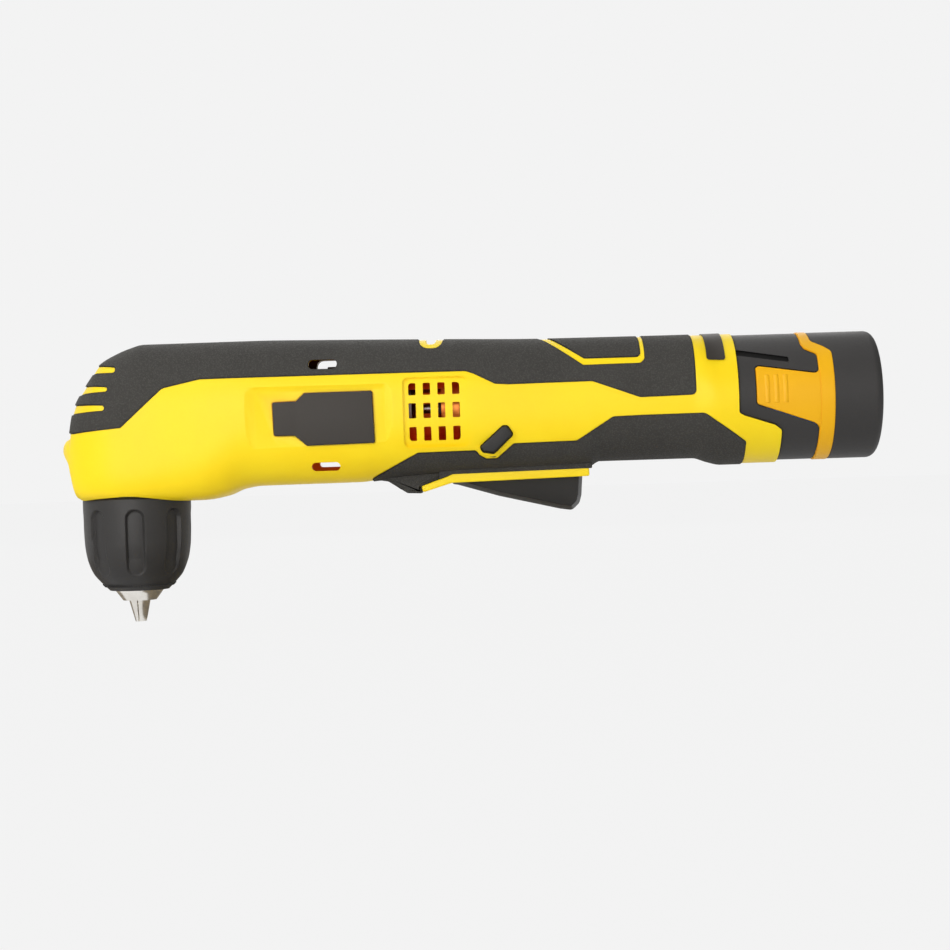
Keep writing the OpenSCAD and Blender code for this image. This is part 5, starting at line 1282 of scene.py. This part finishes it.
def flatSheet(name, areas, height, material):
    # level rectangles, each given by x and y of two corners
    corners = [(x, y, height) for a, b, c, d in areas for x, y in ((a, b), (c, b), (c, d), (a, d))]
    mesh = bpy.data.meshes.new(name)
    mesh.from_pydata(corners, [], [tuple(range(i, i + 4)) for i in range(0, len(corners), 4)])
    mesh.materials.append(material)
    return addObject(name, mesh)


half = view["floorHalf"]
floor = flatSheet("floor", [(-half, -half, half, half)], view["floor"] * mm, paleStage("paleFloor"))

light = {
    "ambient": 0.3, "mirror": 1.0, "leftShare": 1.0, "rightShare": 0.35, "fade": (-0.1, 0.8),
    "room": (1, 0.99, 0.97, 1), "cardHeight": -0.003,
    "cards": [(0.009, -0.14, 0.17, 0.08), (-0.13, 0.004, -0.007, 0.25)],
    "boxes": [  # name, place, aim, size, watts, colour
        ("keyBox", (-0.6, -0.75, 0.6), (0.04, 0, 0.06), 0.7, 4.9, (1, 0.98, 0.95)),
        ("frontBox", (-0.1, -0.9, 0.02), (0.1, 0, 0.06), 0.6, 5.6, (1, 0.98, 0.95)),
        ("fillBox", (0.75, -0.8, 0.35), (0.15, 0, 0.06), 0.6, 1.2, (1, 0.98, 0.95)),
        ("topBox", (-0.1, 0.1, 1.0), (0.1, 0, 0.06), 0.9, 2.4, (1, 1, 1)),
        ("rimBox", (0.1, 0.9, 0.5), (0.1, 0, 0.06), 0.8, 2.5, (1, 1, 1)),
    ],
}
# the room is brighter on the left, and the camera sees the plain backdrop
sky = Sky("studio")
heading = sky.node("ShaderNodeSeparateXYZ", {}, {0: sky.node("ShaderNodeTexCoord", out="Generated")})
start, end = light["fade"]
share = sky.node("ShaderNodeMapRange", {"clamp": True, "interpolation_type": "SMOOTHSTEP"},
                 {"Value": heading, "From Min": start, "From Max": end,
                  "To Min": light["leftShare"], "To Max": light["rightShare"]})
rays = ("Is Camera Ray", "Is Glossy Ray", "Is Transmission Ray")
direct, glossy, passing = (sky.node("ShaderNodeLightPath", out=ray) for ray in rays)
mirror = glossy.maths("MAXIMUM", glossy, passing)
strength = share * (mirror * (light["mirror"] - light["ambient"]) + light["ambient"])
room = sky.node("ShaderNodeBackground", {}, {"Color": light["room"], "Strength": strength})
shown = sky.node("ShaderNodeBackground", {}, {"Color": view["backdrop"], "Strength": 1.0})
mixed = sky.node("ShaderNodeMixShader", {}, {0: direct, 1: room, 2: shown})
sky.node("ShaderNodeOutputWorld", {}, {"Surface": mixed})

# dark cards low beside and behind the chuck, met only by mirror rays, give the steel its grey sides
cardGrey = mouldedPlastic("cardGrey", rgb(164, 156, 144), rgb(140, 132, 120), 0.9, 300, 0.00002)
card = flatSheet("darkCard", light["cards"], light["cardHeight"], cardGrey)
card.visible_camera = card.visible_diffuse = card.visible_shadow = card.visible_transmission = False

for name, place, aim, size, watts, colour in light["boxes"]:
    lamp = bpy.data.lights.new(name, "AREA")
    lamp.energy, lamp.size, lamp.color = watts, size, colour
    toAim = (Vector(aim) - Vector(place)).to_track_quat("-Z", "Y")
    addObject(name, lamp).matrix_world = Matrix.Translation(place) @ toAim.to_matrix().to_4x4()

scene.view_settings.view_transform = "Standard"
